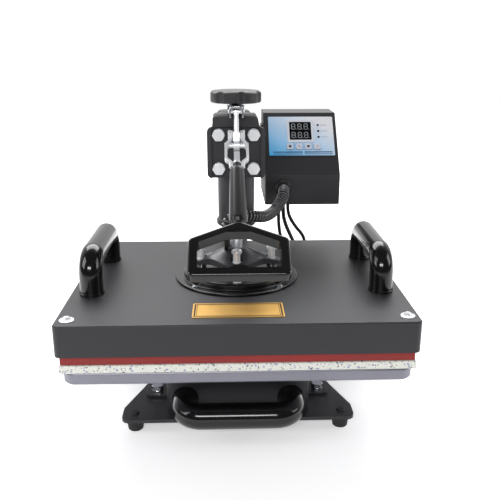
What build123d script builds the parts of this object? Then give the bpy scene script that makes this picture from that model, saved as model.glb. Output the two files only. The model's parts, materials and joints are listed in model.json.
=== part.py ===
from build123d import *
from math import atan2, ceil, cos, degrees, pi, radians, sin, sqrt, tan
import os

# Combo heat press, millimetres, +Z up. Pieces are drawn about the press axis, which stands at
# X = 0, Y = 0 with the table at Z = 0, and the whole is then moved so that the origin is the
# middle of the footprint.

# Clearances
running_gap = 0.05
free_gap = 0.3
seat_gap = 0.02

# Stand
foot_height = 15
foot_radius = 11
foot_inset_x = 15
foot_inset_front = 15
foot_inset_rear = 17
foot_pin_radius = 3
plate_thickness = 5
plate_front = 99
plate_rear = 245
plate_half_front = 139
plate_half_waist = 106
plate_half_rear = 125
plate_corner = 9
pedestal_half = 86
pedestal_depth = 160
pedestal_height = 74
pedestal_wall = 3
pedestal_bend = 7
flange_reach = 29
flange_depth = 96
base_bolt_x = 102
base_bolt_y = 33

# Lower platen and pads
platen_width = 380
platen_depth = 300
platen_corner = 14
lower_platen_thickness = 15
foam_overhang = 1.5
foam_thickness = 9.2
pad_thickness = 10.2

# Heat head
cover_margin = 5
cover_width = platen_width + 2 * cover_margin
cover_depth = platen_depth + 2 * cover_margin
cover_height = 36
cover_wall = 2
cover_corner = 7
cover_lift = 0.6
heat_platen_thickness = 14
element_radius = 4
element_pitch = 60
element_runs = 5
element_run = 300
insulation_thickness = 12
screw_inset_x = 13
screw_inset_y = 17
cover_screw_radius = 2
brass_width = 100
brass_depth = 40
brass_thickness = 0.8
brass_front = 137

# Handles
handle_pitch = 127
handle_reach = 56
handle_radius = 13.7
handle_bend = 21
handle_inset = 25
handle_x = cover_width / 2 - handle_inset
handle_middle_y = 4.5
front_handle_radius = 15
front_handle_z = 36.5
handle_screw_radius = 3
handle_screw_depth = 16

# Disc and spider
disc_radius = 76.5
disc_thickness = 3
flange_radius = 66
flange_thickness = 8
disc_screw_circle = 71.4
disc_screw_radius = 2
spider_bolt_x = 44
spider_bolt_y = 21
spider_thickness = 4
spider_rim_height = 10
spider_hub_height = 27
spider_hub_radius = 13
spider_boss_radius = 11
spider_oval = 0.62
spider_lobe = 11
spider_bolt_radius = 3.6
spider_head_radius = 6.5
spider_head_height = 4.5
spider_shank = 12.2
spider_seat_side = 0.8
spider_seat_end = 2.2

# Press rod and head
rod_radius = 8
pinch = rod_radius - 3
sleeve_radius = 22
sleeve_bottom = 233
collar_radius = 24
collar_height = 8
head_half = 28
head_depth = 42
head_bottom = 295
head_height = 59
bush_radius = 12
bush_length = 24
neck_radius = 9.7
neck_height = 11
spindle_radius = 5
knob_radius = 30
knob_height = 14
knob_lobes = 7
cap_width = 54
cap_height = 12
cap_front = 29
cap_rear = 21
press_travel = 22.3

# Front clamp plate
clamp_width = 67
clamp_thickness = 4
clamp_rib = 5
clamp_rib_depth = 9
clamp_corner = 6
clamp_bolt_x = 20.3
clamp_bolt_z = 19.5
clamp_bolt_centre = 30.5
clamp_bolt_depth = 12
hex_across = 13
hex_height = 5.3
bolt_radius = 4

# Column and arm
column_y = 200
column_radius = 20
thrust_collar_radius = 25
thrust_collar_height = 8
swing_bottom = 258
swing_height = 94
swing_outer = 25
swing_bush_wall = 2
swing_bush_length = 22
swing_wall = swing_outer - column_radius - swing_bush_wall
post_top = swing_bottom + swing_height - 8
foot_flange_width = 104
foot_flange_depth = 84
foot_flange_thickness = 8
foot_bolt_x = 38
foot_bolt_y = 28
beam_half = 18
beam_bottom = 302
beam_height = 36
beam_wall = 3
bracket_y = 150

# Lever
pivot_y = -42
pivot_z = 346
lever_slope = 35
lug_radius = 7
tongue_thickness = 6.5
strap_thickness = 3
strap_depth = 12
strap_bulge = 13.3
link_arm = 16
pin_radius = 4
link_pin_radius = 3
spigot_radius = 5
tube_start = 52
tube_neck = 125.5
tube_end = 136
tube_radius_top = 7.9
tube_radius_bottom = 9.5
tube_socket_radius = 6
rivet_radius = 1.6
rivet_s = tube_start - 3.4
bar_start = 29
bar_half_height = 4
grip_start = 129.5
grip_shoulder = 151.5
grip_end = 197
grip_half = 49.5
grip_bar = 9
grip_thickness = 13
grip_corner = 6
link_top_y = -47
link_top_z = 373
link_rod_radius = 2.8
yoke_width = 16
yoke_wall = 2
yoke_drop = 12
yoke_front = 56
slot_rise = 1.2

# Control box
box_left = 40
box_width = 100
box_bottom = 238
box_fold_z = 278
box_top = 354
box_front = 76
box_top_front = 141
box_rear = 195
box_wall = 2
panel_width = 89
panel_length = 62
panel_thickness = 0.8
panel_x = 1
panel_v = 11.5
display_width = 31
display_length = 30
display_v = 18.7
display_bezel = 36.5
light_x = 24.7
light_v = 19
light_pitch = 9.6
light_radius = 1.6
button_size = 8.6
button_hole = button_size + 0.5
button_v = -6.5
button_pitch = 12.4
button_first = -15.2
button_height = 2.2
button_travel = 0.5
grommet_x = 64
grommet_z = 262
grommet_radius = 8.5
grommet_out = 6
cable_glands_at = [(74, 187), (66, 172), (80, 176)]
gland_radius = 4
gland_length = 22
gland_collar = 4.5
switch_z = box_bottom + 26
switch_width = 12
switch_length = 19
switch_room = 1
board_depth = 9

# Cords
hose_radius = 7.2
hose_bore = 4.6
hose_pitch = 4.2
rib_depth = 1.3
stretch_rings = 24
hose_gland_height = 10
tail_end_x = -12.5
tail_end_y = 48
cable_radius = 3
mains_radius = 3
coil_turns = 6
coil_radius = 43
coil_step = 7.4
coil_in = (coil_turns - 1) // 2 + 0.5
coil_middle = (100, 305)
plug_z = 9.8
plug_out = 28
plug_aside = 4


def block(x0, x1, y0, y1, z0, z1):
    size = Box(x1 - x0, y1 - y0, z1 - z0)
    return Pos((x0 + x1) / 2, (y0 + y1) / 2, (z0 + z1) / 2) * size


def upright(radius, z0, z1, x=0, y=0):
    return Pos(x, y, z0) * Cylinder(radius, z1 - z0, align=(Align.CENTER, Align.CENTER, Align.MIN))


def along_x(radius, x0, x1, y, z):
    bar = Cylinder(radius, x1 - x0, align=(Align.CENTER, Align.CENTER, Align.MIN))
    return Pos(x0, y, z) * Rot(0, 90, 0) * bar


def along_y(radius, y0, y1, x, z):
    bar = Cylinder(radius, y1 - y0, align=(Align.CENTER, Align.CENTER, Align.MIN))
    return Pos(x, y0, z) * Rot(-90, 0, 0) * bar


def slab(width, depth, z0, z1, corner, y=0):
    outline = RectangleRounded(width, depth, corner)
    return Pos(0, y, z0) * extrude(outline, z1 - z0)


def turned(points):
    """A solid of revolution about Z from (radius, height) points."""
    profile = make_face(Polyline(*[(r, 0, z) for r, z in points], close=True))
    return revolve(profile, Axis.Z)


def corners(x, y):
    return [(sx * x, sy * y) for sx in (-1, 1) for sy in (-1, 1)]


def hex_bolt(length, nut_at=None):
    """A hexagon bolt with its washer, head up, its shank hanging from Z = 0."""
    washer = upright(hex_across * 0.54, 0, 1.2)
    head = Pos(0, 0, 1.2) * extrude(RegularPolygon(hex_across / 2, 6, major_radius=False), hex_height)
    crown = Pos(0, 0, 1.2) * turned([
        (0, 0),
        (hex_across * 0.58, 0),
        (hex_across * 0.58, hex_height - 1),
        (hex_across * 0.48, hex_height),
        (0, hex_height),
    ])
    bolt = washer + (head & crown) + upright(bolt_radius, -length, 0)
    if nut_at is not None:
        nut = extrude(RegularPolygon(hex_across / 2, 6, major_radius=False), hex_height)
        bolt += Pos(0, 0, -nut_at - hex_height) * nut
    return bolt


def pan_screw(radius, head_radius, head_height, length):
    """A domed screw, head up, its shank hanging from Z = 0."""
    head = turned([
        (0, 0),
        (head_radius, 0),
        (head_radius, head_height * 0.4),
        (head_radius * 0.7, head_height),
        (0, head_height),
    ])
    slot = block(-head_radius, head_radius, -0.6, 0.6, head_height * 0.55, head_height + 1)
    return head - slot + upright(radius, -length, 0)


# Stand
plate_bottom = foot_height
plate_top = foot_height + plate_thickness
pedestal_top = plate_top + pedestal_height
feet_places = [
    (side * (plate_half_front - foot_inset_x), -plate_front + foot_inset_front) for side in (-1, 1)
] + [
    (side * (plate_half_rear - foot_inset_x), plate_rear - foot_inset_rear) for side in (-1, 1)
]
pedestal_bolts_at = corners(base_bolt_x, base_bolt_y)
column_bolts_at = [(x, column_y + y) for x, y in corners(foot_bolt_x, foot_bolt_y)]


def base_plate():
    right = [
        (plate_half_front, -plate_front),
        (plate_half_front, -plate_front * 0.72),
        (plate_half_front - 18, -plate_front * 0.22),
        (plate_half_waist, plate_rear * 0.1),
        (plate_half_waist, plate_rear * 0.42),
        (plate_half_rear, plate_rear * 0.72),
        (plate_half_rear, plate_rear),
    ]
    outline = make_face(Polyline(*right, *[(-x, y) for x, y in reversed(right)], close=True))
    outline = fillet(outline.vertices(), plate_corner)
    plate = Pos(0, 0, plate_bottom) * extrude(outline, plate_thickness)
    for x, y in feet_places:
        plate -= upright(foot_pin_radius + seat_gap, 0, plate_top + 1, x, y)
    for x, y in pedestal_bolts_at + column_bolts_at:
        plate -= upright(bolt_radius + running_gap, 0, plate_top + 1, x, y)
    return plate


def rubber_feet():
    foot = turned([
        (0, 0),
        (foot_radius - 3, 0),
        (foot_radius - 2, 1),
        (foot_radius, foot_height),
        (foot_pin_radius, foot_height),
        (foot_pin_radius, plate_top),
        (foot_pin_radius + 2, plate_top),
        (foot_pin_radius + 1, plate_top + 2),
        (0, plate_top + 2),
    ])
    return [Pos(x, y, 0) * foot for x, y in feet_places]


def pedestal():
    outer = slab(2 * pedestal_half, pedestal_depth, plate_top, pedestal_top, pedestal_bend)
    inner = slab(
        2 * (pedestal_half - pedestal_wall),
        pedestal_depth - 2 * pedestal_wall,
        plate_top - 1,
        pedestal_top - pedestal_wall,
        pedestal_bend - pedestal_wall,
    )
    box = outer - inner
    flange_half = pedestal_half + flange_reach
    for side in (-1, 1):
        low, high = sorted((side * (pedestal_half - pedestal_wall), side * flange_half))
        flange = block(low, high, -flange_depth / 2, flange_depth / 2, plate_top, plate_top + pedestal_wall)
        ends = flange.edges().filter_by(Axis.Z).sort_by(Axis.X)
        box += fillet(ends[-2:] if side > 0 else ends[:2], pedestal_bend)
    for x, y in pedestal_bolts_at:
        box -= upright(bolt_radius + running_gap, plate_top - 1, plate_top + pedestal_wall + 1, x, y)
    for side in (-1, 1):
        box -= along_y(handle_screw_radius + running_gap, -pedestal_depth / 2 - 1,
                       -pedestal_depth / 2 + pedestal_wall + 1, side * handle_pitch / 2, front_handle_z)
    return box


def base_bolts():
    on_flange = plate_top + pedestal_wall
    on_foot = plate_top + foot_flange_thickness
    bolts = []
    for places, seat in ((pedestal_bolts_at, on_flange), (column_bolts_at, on_foot)):
        grip = seat - plate_bottom
        bolt = hex_bolt(grip + hex_height + 1, grip)
        bolts += [Pos(x, y, seat) * bolt for x, y in places]
    return bolts


def column_post():
    post = turned([
        (0, plate_top),
        (column_radius, plate_top),
        (column_radius, swing_bottom - thrust_collar_height),
        (thrust_collar_radius - 1, swing_bottom - thrust_collar_height),
        (thrust_collar_radius, swing_bottom - thrust_collar_height + 1),
        (thrust_collar_radius, swing_bottom - free_gap),
        (column_radius, swing_bottom - free_gap),
        (column_radius, post_top - 2),
        (column_radius - 2, post_top),
        (0, post_top),
    ])
    foot = slab(foot_flange_width, foot_flange_depth, plate_top, plate_top + foot_flange_thickness, 8)
    for x, y in corners(foot_bolt_x, foot_bolt_y):
        foot -= upright(bolt_radius + running_gap, 0, plate_top + 20, x, y)
    gusset_foot = plate_top + foot_flange_thickness
    web = make_face(Polyline(
        (column_radius - 2, gusset_foot),
        (foot_flange_depth / 2 - 3, gusset_foot),
        (foot_flange_depth / 2 - 3, gusset_foot + 4),
        (column_radius - 2, gusset_foot + 34),
        close=True,
    ))
    web = extrude(Plane.XZ * web, 3, both=True)
    for turn in (0, 90, 180, 270):
        post += Rot(0, 0, turn) * web
    return Pos(0, column_y, 0) * (post + foot)


# Lower platen and pads
platen_bottom = pedestal_top
foam_bottom = platen_bottom + lower_platen_thickness
pad_bottom = foam_bottom + foam_thickness
pad_top = pad_bottom + pad_thickness
heat_bottom = pad_top + free_gap
cover_bottom = heat_bottom + cover_lift
cover_top = cover_bottom + cover_height


def lower_platen():
    plate = slab(platen_width, platen_depth, platen_bottom, foam_bottom, platen_corner)
    rims = plate.edges().group_by(Axis.Z)
    plate = fillet(rims[-1], 3)
    return chamfer(plate.edges().group_by(Axis.Z)[0], 2.5)


def foam_pad():
    width = platen_width + 2 * foam_overhang
    depth = platen_depth + 2 * foam_overhang
    pad = slab(width, depth, foam_bottom, pad_bottom, 4)
    return fillet(pad.edges().filter_by(Axis.Z, reverse=True), 1.2)


def silicone_pad():
    pad = slab(platen_width, platen_depth, pad_bottom, pad_top, 4)
    return fillet(pad.edges().filter_by(Axis.Z, reverse=True), 1.5)


def loop_handle(radius):
    """A bent bar handle, feet at Z = 0 along X, with blind holes for its screws."""
    middle = handle_reach - radius
    half = handle_pitch / 2
    path = FilletPolyline(
        (-half, 0, 0),
        (-half, 0, middle),
        (half, 0, middle),
        (half, 0, 0),
        radius=handle_bend,
    )
    bar = sweep(Plane.XY.offset(0) * Pos(-half, 0) * Circle(radius), path)
    for side in (-1, 1):
        rim = turned([
            (radius - 0.5, 0),
            (radius + 1, 0),
            (radius + 1, 2.4),
            (radius - 0.5, 4.5),
        ])
        bar += Pos(side * half, 0, 0) * rim
        bar -= upright(handle_screw_radius + seat_gap, -1, handle_screw_depth + 1, side * half)
    return bar


def front_handle():
    turn = Pos(0, -pedestal_depth / 2, front_handle_z) * Rot(90, 0, 0)
    return turn * loop_handle(front_handle_radius)


def handle_screw(grip):
    """A pan screw pointing up through a wall of the given thickness that ends at Z = 0."""
    screw = pan_screw(handle_screw_radius, 6, 3.4, grip + handle_screw_depth)
    return Pos(0, 0, -grip) * Rot(180, 0, 0) * screw


def front_handle_screws():
    turn = Pos(0, -pedestal_depth / 2, front_handle_z) * Rot(90, 0, 0)
    screw = handle_screw(pedestal_wall)
    return [turn * Pos(side * handle_pitch / 2, 0, 0) * screw for side in (-1, 1)]


# Heat head
handle_turn = [
    Pos(side * handle_x, handle_middle_y, cover_top) * Rot(0, 0, 90) for side in (-1, 1)
]
cover_screws_at = corners(cover_width / 2 - screw_inset_x, cover_depth / 2 - screw_inset_y)


def platen_cover():
    outer = slab(cover_width, cover_depth, cover_bottom, cover_top, cover_corner)
    outer = fillet(outer.edges().group_by(Axis.Z)[-1], 2)
    inner = slab(cover_width - 2 * cover_wall, cover_depth - 2 * cover_wall, cover_bottom - 1,
                 cover_top - cover_wall, cover_corner - cover_wall)
    cover = outer - inner
    for x, y in cover_screws_at:
        cover += upright(6, insulation_top + free_gap, cover_top - cover_wall, x, y)
        cover -= upright(cover_screw_radius + seat_gap, cover_top - 14, cover_top + 1, x, y)
    for turn in handle_turn:
        for side in (-1, 1):
            hole = upright(handle_screw_radius + running_gap, -cover_wall - 1, 1, side * handle_pitch / 2)
            cover -= turn * hole
    return cover


heat_top = heat_bottom + heat_platen_thickness
insulation_bottom = heat_top + element_radius + free_gap
insulation_top = insulation_bottom + insulation_thickness


def element_path():
    half = element_run / 2
    points = []
    for run in range(element_runs):
        y = (run - (element_runs - 1) / 2) * element_pitch
        ends = [(-half, y, heat_top), (half, y, heat_top)]
        points += ends if run % 2 == 0 else ends[::-1]
    return FilletPolyline(*points, radius=element_pitch / 2 - 1)


def heating_element():
    path = element_path()
    return sweep((path ^ 0) * Circle(element_radius), path)


def heat_platen():
    plate = slab(platen_width, platen_depth, heat_bottom, heat_top, platen_corner)
    path = element_path()
    return plate - sweep((path ^ 0) * Circle(element_radius + running_gap), path)


def insulation_board():
    return slab(platen_width - 20, platen_depth - 20, insulation_bottom, insulation_top, 6)


def handle_screws():
    screw = handle_screw(cover_wall)
    return [
        turn * Pos(side * handle_pitch / 2, 0, 0) * screw for turn in handle_turn for side in (-1, 1)
    ]


def cover_screws():
    washer = turned([
        (cover_screw_radius + seat_gap, 0),
        (8, 0),
        (8, 0.8),
        (6.5, 1.6),
        (cover_screw_radius + seat_gap, 1.6),
    ])
    screw = Pos(0, 0, 1.6) * pan_screw(cover_screw_radius, 4.2, 2.4, 13)
    spots = [Pos(x, y, cover_top) for x, y in cover_screws_at]
    return [spot * piece for spot in spots for piece in (washer, screw)]


def brass_plate():
    middle = -brass_front + brass_depth / 2
    return slab(brass_width, brass_depth, cover_top, cover_top + brass_thickness, 2, middle)


# Disc and spider
disc_top = cover_top + disc_thickness
flange_top = disc_top + flange_thickness
spider_rim = flange_top + spider_rim_height
spider_hub = flange_top + spider_hub_height
spider_bolts_at = [
    (spider_bolt_x, 0),
    (-spider_bolt_x, 0),
    (0, spider_bolt_y),
    (0, -spider_bolt_y),
]
disc_screws_at = [
    (disc_screw_circle * cos(radians(a)), disc_screw_circle * sin(radians(a)))
    for a in (45, 135, 225, 315)
]


def mounting_disc():
    disc = turned([
        (0, cover_top),
        (disc_radius, cover_top),
        (disc_radius, disc_top - 0.8),
        (disc_radius - 0.8, disc_top),
        (flange_radius + 1, disc_top),
        (flange_radius, disc_top + 1),
        (flange_radius, flange_top - 2.5),
        (flange_radius - 2.5, flange_top),
        (0, flange_top),
    ])
    for x, y in disc_screws_at:
        disc -= upright(disc_screw_radius + running_gap, cover_top - 1, disc_top + 1, x, y)
    for x, y in spider_bolts_at:
        disc -= upright(spider_bolt_radius + running_gap, disc_top, flange_top + 1, x, y)
    return disc


def disc_screws():
    screw = pan_screw(disc_screw_radius, 3.8, 2.2, disc_thickness)
    return [Pos(x, y, disc_top) * screw for x, y in disc_screws_at]


def spider_plate():
    """A domed plate with four lobes, one for each long bolt, about the press rod."""
    rim = spider_bolt_x + spider_lobe
    low = spider_rim - spider_thickness
    drop = spider_hub - spider_rim
    crown = Line((0, 0, spider_hub), (spider_hub_radius, 0, spider_hub)) + ThreePointArc(
        (spider_hub_radius, 0, spider_hub),
        (rim * 0.6, 0, spider_rim + drop * 0.43),
        (rim, 0, spider_rim),
    )
    under = Polyline(
        (rim, 0, spider_rim),
        (rim, 0, low),
        (20, 0, low + 2),
        (0, 0, low + 4),
        (0, 0, spider_hub),
    )
    dome = scale(revolve(make_face(crown + under), Axis.Z), by=(1, spider_oval, 1))
    dome += upright(spider_boss_radius, low + 4, spider_hub)
    half = spider_lobe
    deep = spider_bolt_y + half
    quarter = [
        (rim, half * 0.62),
        (spider_bolt_x - half, half * 1.15),
        (half * 1.5, deep - half * 0.45),
        (half * 0.75, deep),
    ]
    ring = quarter + [(-x, y) for x, y in reversed(quarter)]
    ring += [(-x, -y) for x, y in quarter] + [(x, -y) for x, y in reversed(quarter)]
    star = make_face(Polyline(*ring, close=True))
    star = fillet(star.vertices(), 5)
    plate = dome & (Pos(0, 0, low - 1) * extrude(star, spider_hub_height + spider_thickness + 2))
    plate -= upright(rod_radius - 3 + seat_gap, low - 1, spider_hub + 1)
    plate -= upright(rod_radius + seat_gap, spider_hub - 4, spider_hub + 1)
    for x, y in spider_bolts_at:
        plate -= upright(spider_bolt_radius + running_gap, low - 2, spider_hub + 1, x, y)
        plate -= upright(spider_head_radius + 0.6, spider_rim + spider_seat(x), spider_hub + 1, x, y)
        plate -= upright(spider_head_radius + 0.6, low - 8, spider_rim + spider_seat(x) - 4, x, y)
    for side in (-1, 1):
        slot = Pos(side * (spider_bolt_x - 18), 6, spider_rim) * Rot(0, 0, side * -35) * SlotOverall(
            12, 2.4)
        plate -= extrude(slot, 20, both=True)
    return plate


def spider_seat(x):
    return spider_seat_side if x else spider_seat_end


def spider_bolts():
    bolts = []
    for x, y in spider_bolts_at:
        seat = spider_rim + spider_seat(x)
        top = seat + spider_shank
        bolt = turned([
            (0, disc_top + 1),
            (spider_bolt_radius, disc_top + 1),
            (spider_bolt_radius, seat),
            (spider_head_radius - 0.8, seat),
            (spider_head_radius - 0.8, seat + 1.6),
            (spider_head_radius - 2, seat + 1.6),
            (spider_head_radius - 2, top),
            (spider_head_radius - 0.4, top),
            (spider_head_radius, top + 0.6),
            (spider_head_radius, top + spider_head_height - 1.2),
            (spider_head_radius - 1.2, top + spider_head_height),
            (0, top + spider_head_height),
        ])
        bolt -= Pos(0, 0, top + 1.5) * extrude(RegularPolygon(3, 6), spider_head_height)
        bolts.append(Pos(x, y, 0) * bolt)
    return bolts


def spring_washers():
    """Stacks of cupped washers under the spider's four lobes."""
    stacks = []
    bore = spider_bolt_radius + seat_gap
    for x, y in spider_bolts_at:
        height = spider_rim + spider_seat(x) - 4 - flange_top
        count = ceil(height / 2.2)
        step = height / count
        outline = [(bore, 0)]
        for turn in range(count):
            z = turn * step
            outline += [(6.2, z), (6.2, z + step * 0.5), (5.0, z + step * 0.75), (5.0, z + step)]
        outline.append((bore, height))
        stacks.append(Pos(x, y, flange_top) * turned(outline))
    return stacks


# Press rod and head
head_top = head_bottom + head_height
cap_top = head_top + cap_height
neck_bottom = cap_top + free_gap
neck_top = neck_bottom + neck_height
yoke_top = neck_top + yoke_wall
knob_bottom = yoke_top + free_gap
knob_top = knob_bottom + knob_height


def press_rod():
    return turned([
        (0, spider_rim),
        (pinch, spider_rim),
        (pinch, spider_hub - 4),
        (rod_radius, spider_hub - 4),
        (rod_radius, neck_bottom),
        (neck_radius, neck_bottom),
        (neck_radius, neck_top),
        (spindle_radius, neck_top),
        (spindle_radius, knob_top - 3),
        (spindle_radius - 1, knob_top - 2),
        (0, knob_top - 2),
    ])


def press_sleeve():
    sleeve = turned([
        (rod_radius + 2, sleeve_bottom),
        (collar_radius - 1.5, sleeve_bottom),
        (collar_radius, sleeve_bottom + 1.5),
        (collar_radius, sleeve_bottom + collar_height - 1.5),
        (collar_radius - 1.5, sleeve_bottom + collar_height),
        (sleeve_radius, sleeve_bottom + collar_height),
        (sleeve_radius, head_bottom),
        (rod_radius + 2, head_bottom),
    ])
    return sleeve - upright(bush_radius + seat_gap, sleeve_bottom - 1, sleeve_bottom + bush_length)


def arm_bushes():
    """The two press bushes and the two swing bushes."""
    bore = rod_radius + running_gap
    press = turned([(bore, 0), (bush_radius, 0), (bush_radius, bush_length), (bore, bush_length)])
    inner = column_radius + running_gap
    outer = swing_outer - swing_wall - seat_gap
    swing = turned([(inner, 0), (outer, 0), (outer, swing_bush_length), (inner, swing_bush_length)])
    swing_top = post_top - swing_bush_length
    return [
        Pos(0, 0, sleeve_bottom) * press,
        Pos(0, 0, head_top - bush_length) * press,
        Pos(0, column_y, swing_bottom) * swing,
        Pos(0, column_y, swing_top) * swing,
    ]


clamp_bolts_at = [
    (x, head_bottom + clamp_bolt_centre + z) for x, z in corners(clamp_bolt_x, clamp_bolt_z)
]
clamp_face = -head_depth / 2 - clamp_thickness


def head_block():
    half_depth = head_depth / 2
    body = block(-head_half, head_half, -half_depth, half_depth, head_bottom, head_top)
    body = fillet(body.edges().filter_by(Axis.Z), 5)
    body -= upright(rod_radius + 2, head_bottom - 1, head_top + 1)
    body -= upright(bush_radius + seat_gap, head_top - bush_length, head_top + 1)
    for x, z in clamp_bolts_at:
        body -= along_y(bolt_radius + seat_gap, -half_depth - 1, -half_depth + clamp_bolt_depth + 1, x, z)
    return body


def front_clamp_plate():
    bottom = head_bottom
    outline = Pos(0, bottom + head_height / 2) * RectangleRounded(clamp_width, head_height, clamp_corner)
    back = -head_depth / 2
    plate = Pos(0, back, 0) * extrude(Plane.XZ * outline, clamp_thickness)
    ribbed = Pos(0, back, 0) * extrude(Plane.XZ * outline, clamp_rib_depth)
    hollow = clamp_width / 2 - clamp_rib
    top = bottom + head_height
    ribbed -= block(-hollow, hollow, back - clamp_rib_depth - 1, back + 1, bottom - 1, top + 1)
    plate += ribbed
    reach = tongue_reach(lug_radius)
    lug = make_face(Polyline(*reach, close=True))
    half = tongue_thickness / 2
    plate += extrude(Plane.YZ * lug, half, both=True)
    plate += along_x(lug_radius, -half, half, pivot_y, pivot_z)
    plate -= along_x(pin_radius + running_gap, -half - 1, half + 1, pivot_y, pivot_z)
    for x, z in clamp_bolts_at:
        plate -= along_y(bolt_radius + running_gap, clamp_face - 10, back + 1, x, z)
    return plate


def tongue_reach(radius):
    """Side outline of the fulcrum tongue, from the plate's face to its nose."""
    return [
        (clamp_face + 1, pivot_z + radius + 0.5),
        (pivot_y, pivot_z + radius),
        (pivot_y, pivot_z - radius),
        (clamp_face + 1, pivot_z - radius - 7),
    ]


def clamp_bolts():
    bolt = hex_bolt(clamp_thickness + clamp_bolt_depth)
    return [Pos(x, clamp_face, z) * Rot(90, 0, 0) * bolt for x, z in clamp_bolts_at]


def cap_block():
    half = cap_width / 2
    outline = make_face(Polyline(
        (-half, head_top),
        (half, head_top),
        (half - 2, cap_top - 2),
        (half - 4, cap_top),
        (-half + 2, cap_top),
        (-half, cap_top - 2),
        close=True,
    ))
    cap = Pos(0, cap_rear, 0) * extrude(Plane.XZ * outline, cap_rear + cap_front)
    return cap - upright(rod_radius + free_gap, head_top - 1, cap_top + 1)


def swing_sleeve():
    inner = swing_outer - swing_wall
    top = swing_bottom + swing_height
    return Pos(0, column_y, 0) * turned([
        (inner, swing_bottom),
        (swing_outer, swing_bottom),
        (swing_outer, top - 3),
        (swing_outer - 3, top),
        (0, top),
        (0, top - 4),
        (inner, top - 4),
    ])


def arm_beam():
    start = head_depth / 2
    beam = block(-beam_half, beam_half, start, column_y, beam_bottom, beam_bottom + beam_height)
    beam = fillet(beam.edges().filter_by(Axis.Y), 4)
    inner = beam_half - beam_wall
    beam -= block(-inner, inner, start + 6, column_y, beam_bottom + beam_wall,
                  beam_bottom + beam_height - beam_wall)
    beam_top = beam_bottom + beam_height
    tab = block(box_left - 3, box_left, bracket_y - 14, bracket_y + 14, beam_bottom, beam_top)
    arm = block(beam_half - 1, box_left, bracket_y - 14, bracket_y + 14, beam_bottom + 12,
                beam_bottom + 18)
    beam += arm + tab
    return beam - upright(swing_outer + seat_gap, beam_bottom - 1, beam_top + 1, 0, column_y)


# Yoke, knob and lever
def yoke():
    """An inverted channel in front of the neck, with a ring that sits on the neck's top."""
    half = yoke_width / 2
    start = -neck_radius - 1
    under = yoke_top - yoke_drop
    channel = block(-half, half, -yoke_front, start, under, yoke_top)
    rims = channel.edges().filter_by(Axis.Y).group_by(Axis.Z)[-1]
    channel = fillet(rims, half * 0.7)
    inner = half - yoke_wall
    hollow = block(-inner, inner, -yoke_front - 1, start + 1, under - 1, yoke_top - yoke_wall)
    hollow = fillet(hollow.edges().filter_by(Axis.Y).group_by(Axis.Z)[-1], half * 0.5)
    channel -= hollow
    ring = upright(neck_radius + 1, neck_top, yoke_top)
    ring += block(-half, half, start - 3, 0, neck_top, yoke_top)
    channel += ring
    channel -= upright(spindle_radius + seat_gap, neck_top - 1, yoke_top + 1)
    slot_front = link_top_y - link_arm * (1 - cos(radians(lever_slope)))
    slot_rear = raised_y(link_top_y)
    slot_height = 2 * (link_pin_radius - 1) + 2 * free_gap + slot_rise
    slot = SlotOverall(slot_rear - slot_front + slot_height, slot_height)
    slot = Plane.YZ * Pos((slot_front + slot_rear) / 2, link_top_z + slot_rise / 2) * slot
    return channel - extrude(slot, yoke_width, both=True)


def lever_point(s, n=0):
    """Y and Z of a place along the lever, n above its middle line."""
    slope = radians(lever_slope)
    return (
        pivot_y - s * cos(slope) - n * sin(slope),
        pivot_z - s * sin(slope) + n * cos(slope),
    )


link_y, link_z = lever_point(link_arm)


def raised_y(y):
    """Where a point on the link stands once the lever has turned a quarter turn up."""
    slope = radians(90 - lever_slope)
    return y + (pivot_y - link_arm * cos(slope)) - link_y


def along_lever():
    """A plane on the lever: X along the lever, Y across it."""
    slope = radians(lever_slope)
    return Plane(origin=(0, pivot_y, pivot_z), x_dir=(0, -cos(slope), -sin(slope)),
                 z_dir=(0, -sin(slope), cos(slope)))


def lever_tube():
    core = turned([
        (0, tube_start - 9),
        (spigot_radius, tube_start - 9),
        (spigot_radius, tube_start),
        (spigot_radius + 1, tube_start),
        (tube_radius_top, tube_start + 5),
        (tube_radius_bottom, tube_neck),
        (tube_socket_radius, tube_neck + 6),
        (tube_socket_radius, tube_end),
        (0, tube_end),
    ])
    flat = spigot_radius - 0.6
    for side in (-1, 1):
        low, high = sorted((side * flat, side * (spigot_radius + 1)))
        core -= block(low, high, -spigot_radius - 1, spigot_radius + 1, tube_start - 10, tube_start)
    bar_half = tongue_thickness / 2
    bar = block(-bar_half, bar_half, -bar_half_height, bar_half_height, bar_start, tube_start - 8)
    core += bar
    core -= along_x(rivet_radius + seat_gap, -10, 10, 0, rivet_s)
    upright_to_lever = Plane(origin=(0, pivot_y, pivot_z), x_dir=(1, 0, 0), z_dir=along_lever().x_dir)
    return upright_to_lever.location * core


def lever_straps():
    inner_gap = tongue_thickness / 2 + free_gap
    flat = spigot_radius - 0.6
    wide = strap_bulge - strap_thickness
    inner = [
        (-lug_radius, inner_gap),
        (9, inner_gap),
        (20, wide),
        (38, wide),
        (tube_start - 8, flat),
        (tube_start - 1, flat),
    ]
    straps = []
    for side in (-1, 1):
        spine = FilletPolyline(*[(s, side * (x + strap_thickness / 2)) for s, x in inner], radius=5)
        band = trace(spine, strap_thickness)
        strap = extrude(along_lever() * band, strap_depth / 2, both=True)
        nose = Pos(0, pivot_y, pivot_z) * strap_nose()
        strap &= nose
        for s, radius in ((0, pin_radius), (link_arm, link_pin_radius), (rivet_s, rivet_radius)):
            strap -= along_x(radius + seat_gap, -20, 20, *lever_point(s))
        straps.append(strap)
    return straps


def strap_nose():
    """The straps' side outline: round at the pivot, square at the tube."""
    outline = Pos((tube_start - 1) / 2, 0) * Rectangle(tube_start - 1, strap_depth)
    outline += Circle(strap_depth / 2)
    side = Plane(origin=(0, 0, 0), x_dir=along_lever().x_dir, z_dir=(1, 0, 0))
    return extrude(side * outline, strap_bulge + 1, both=True)


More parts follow.
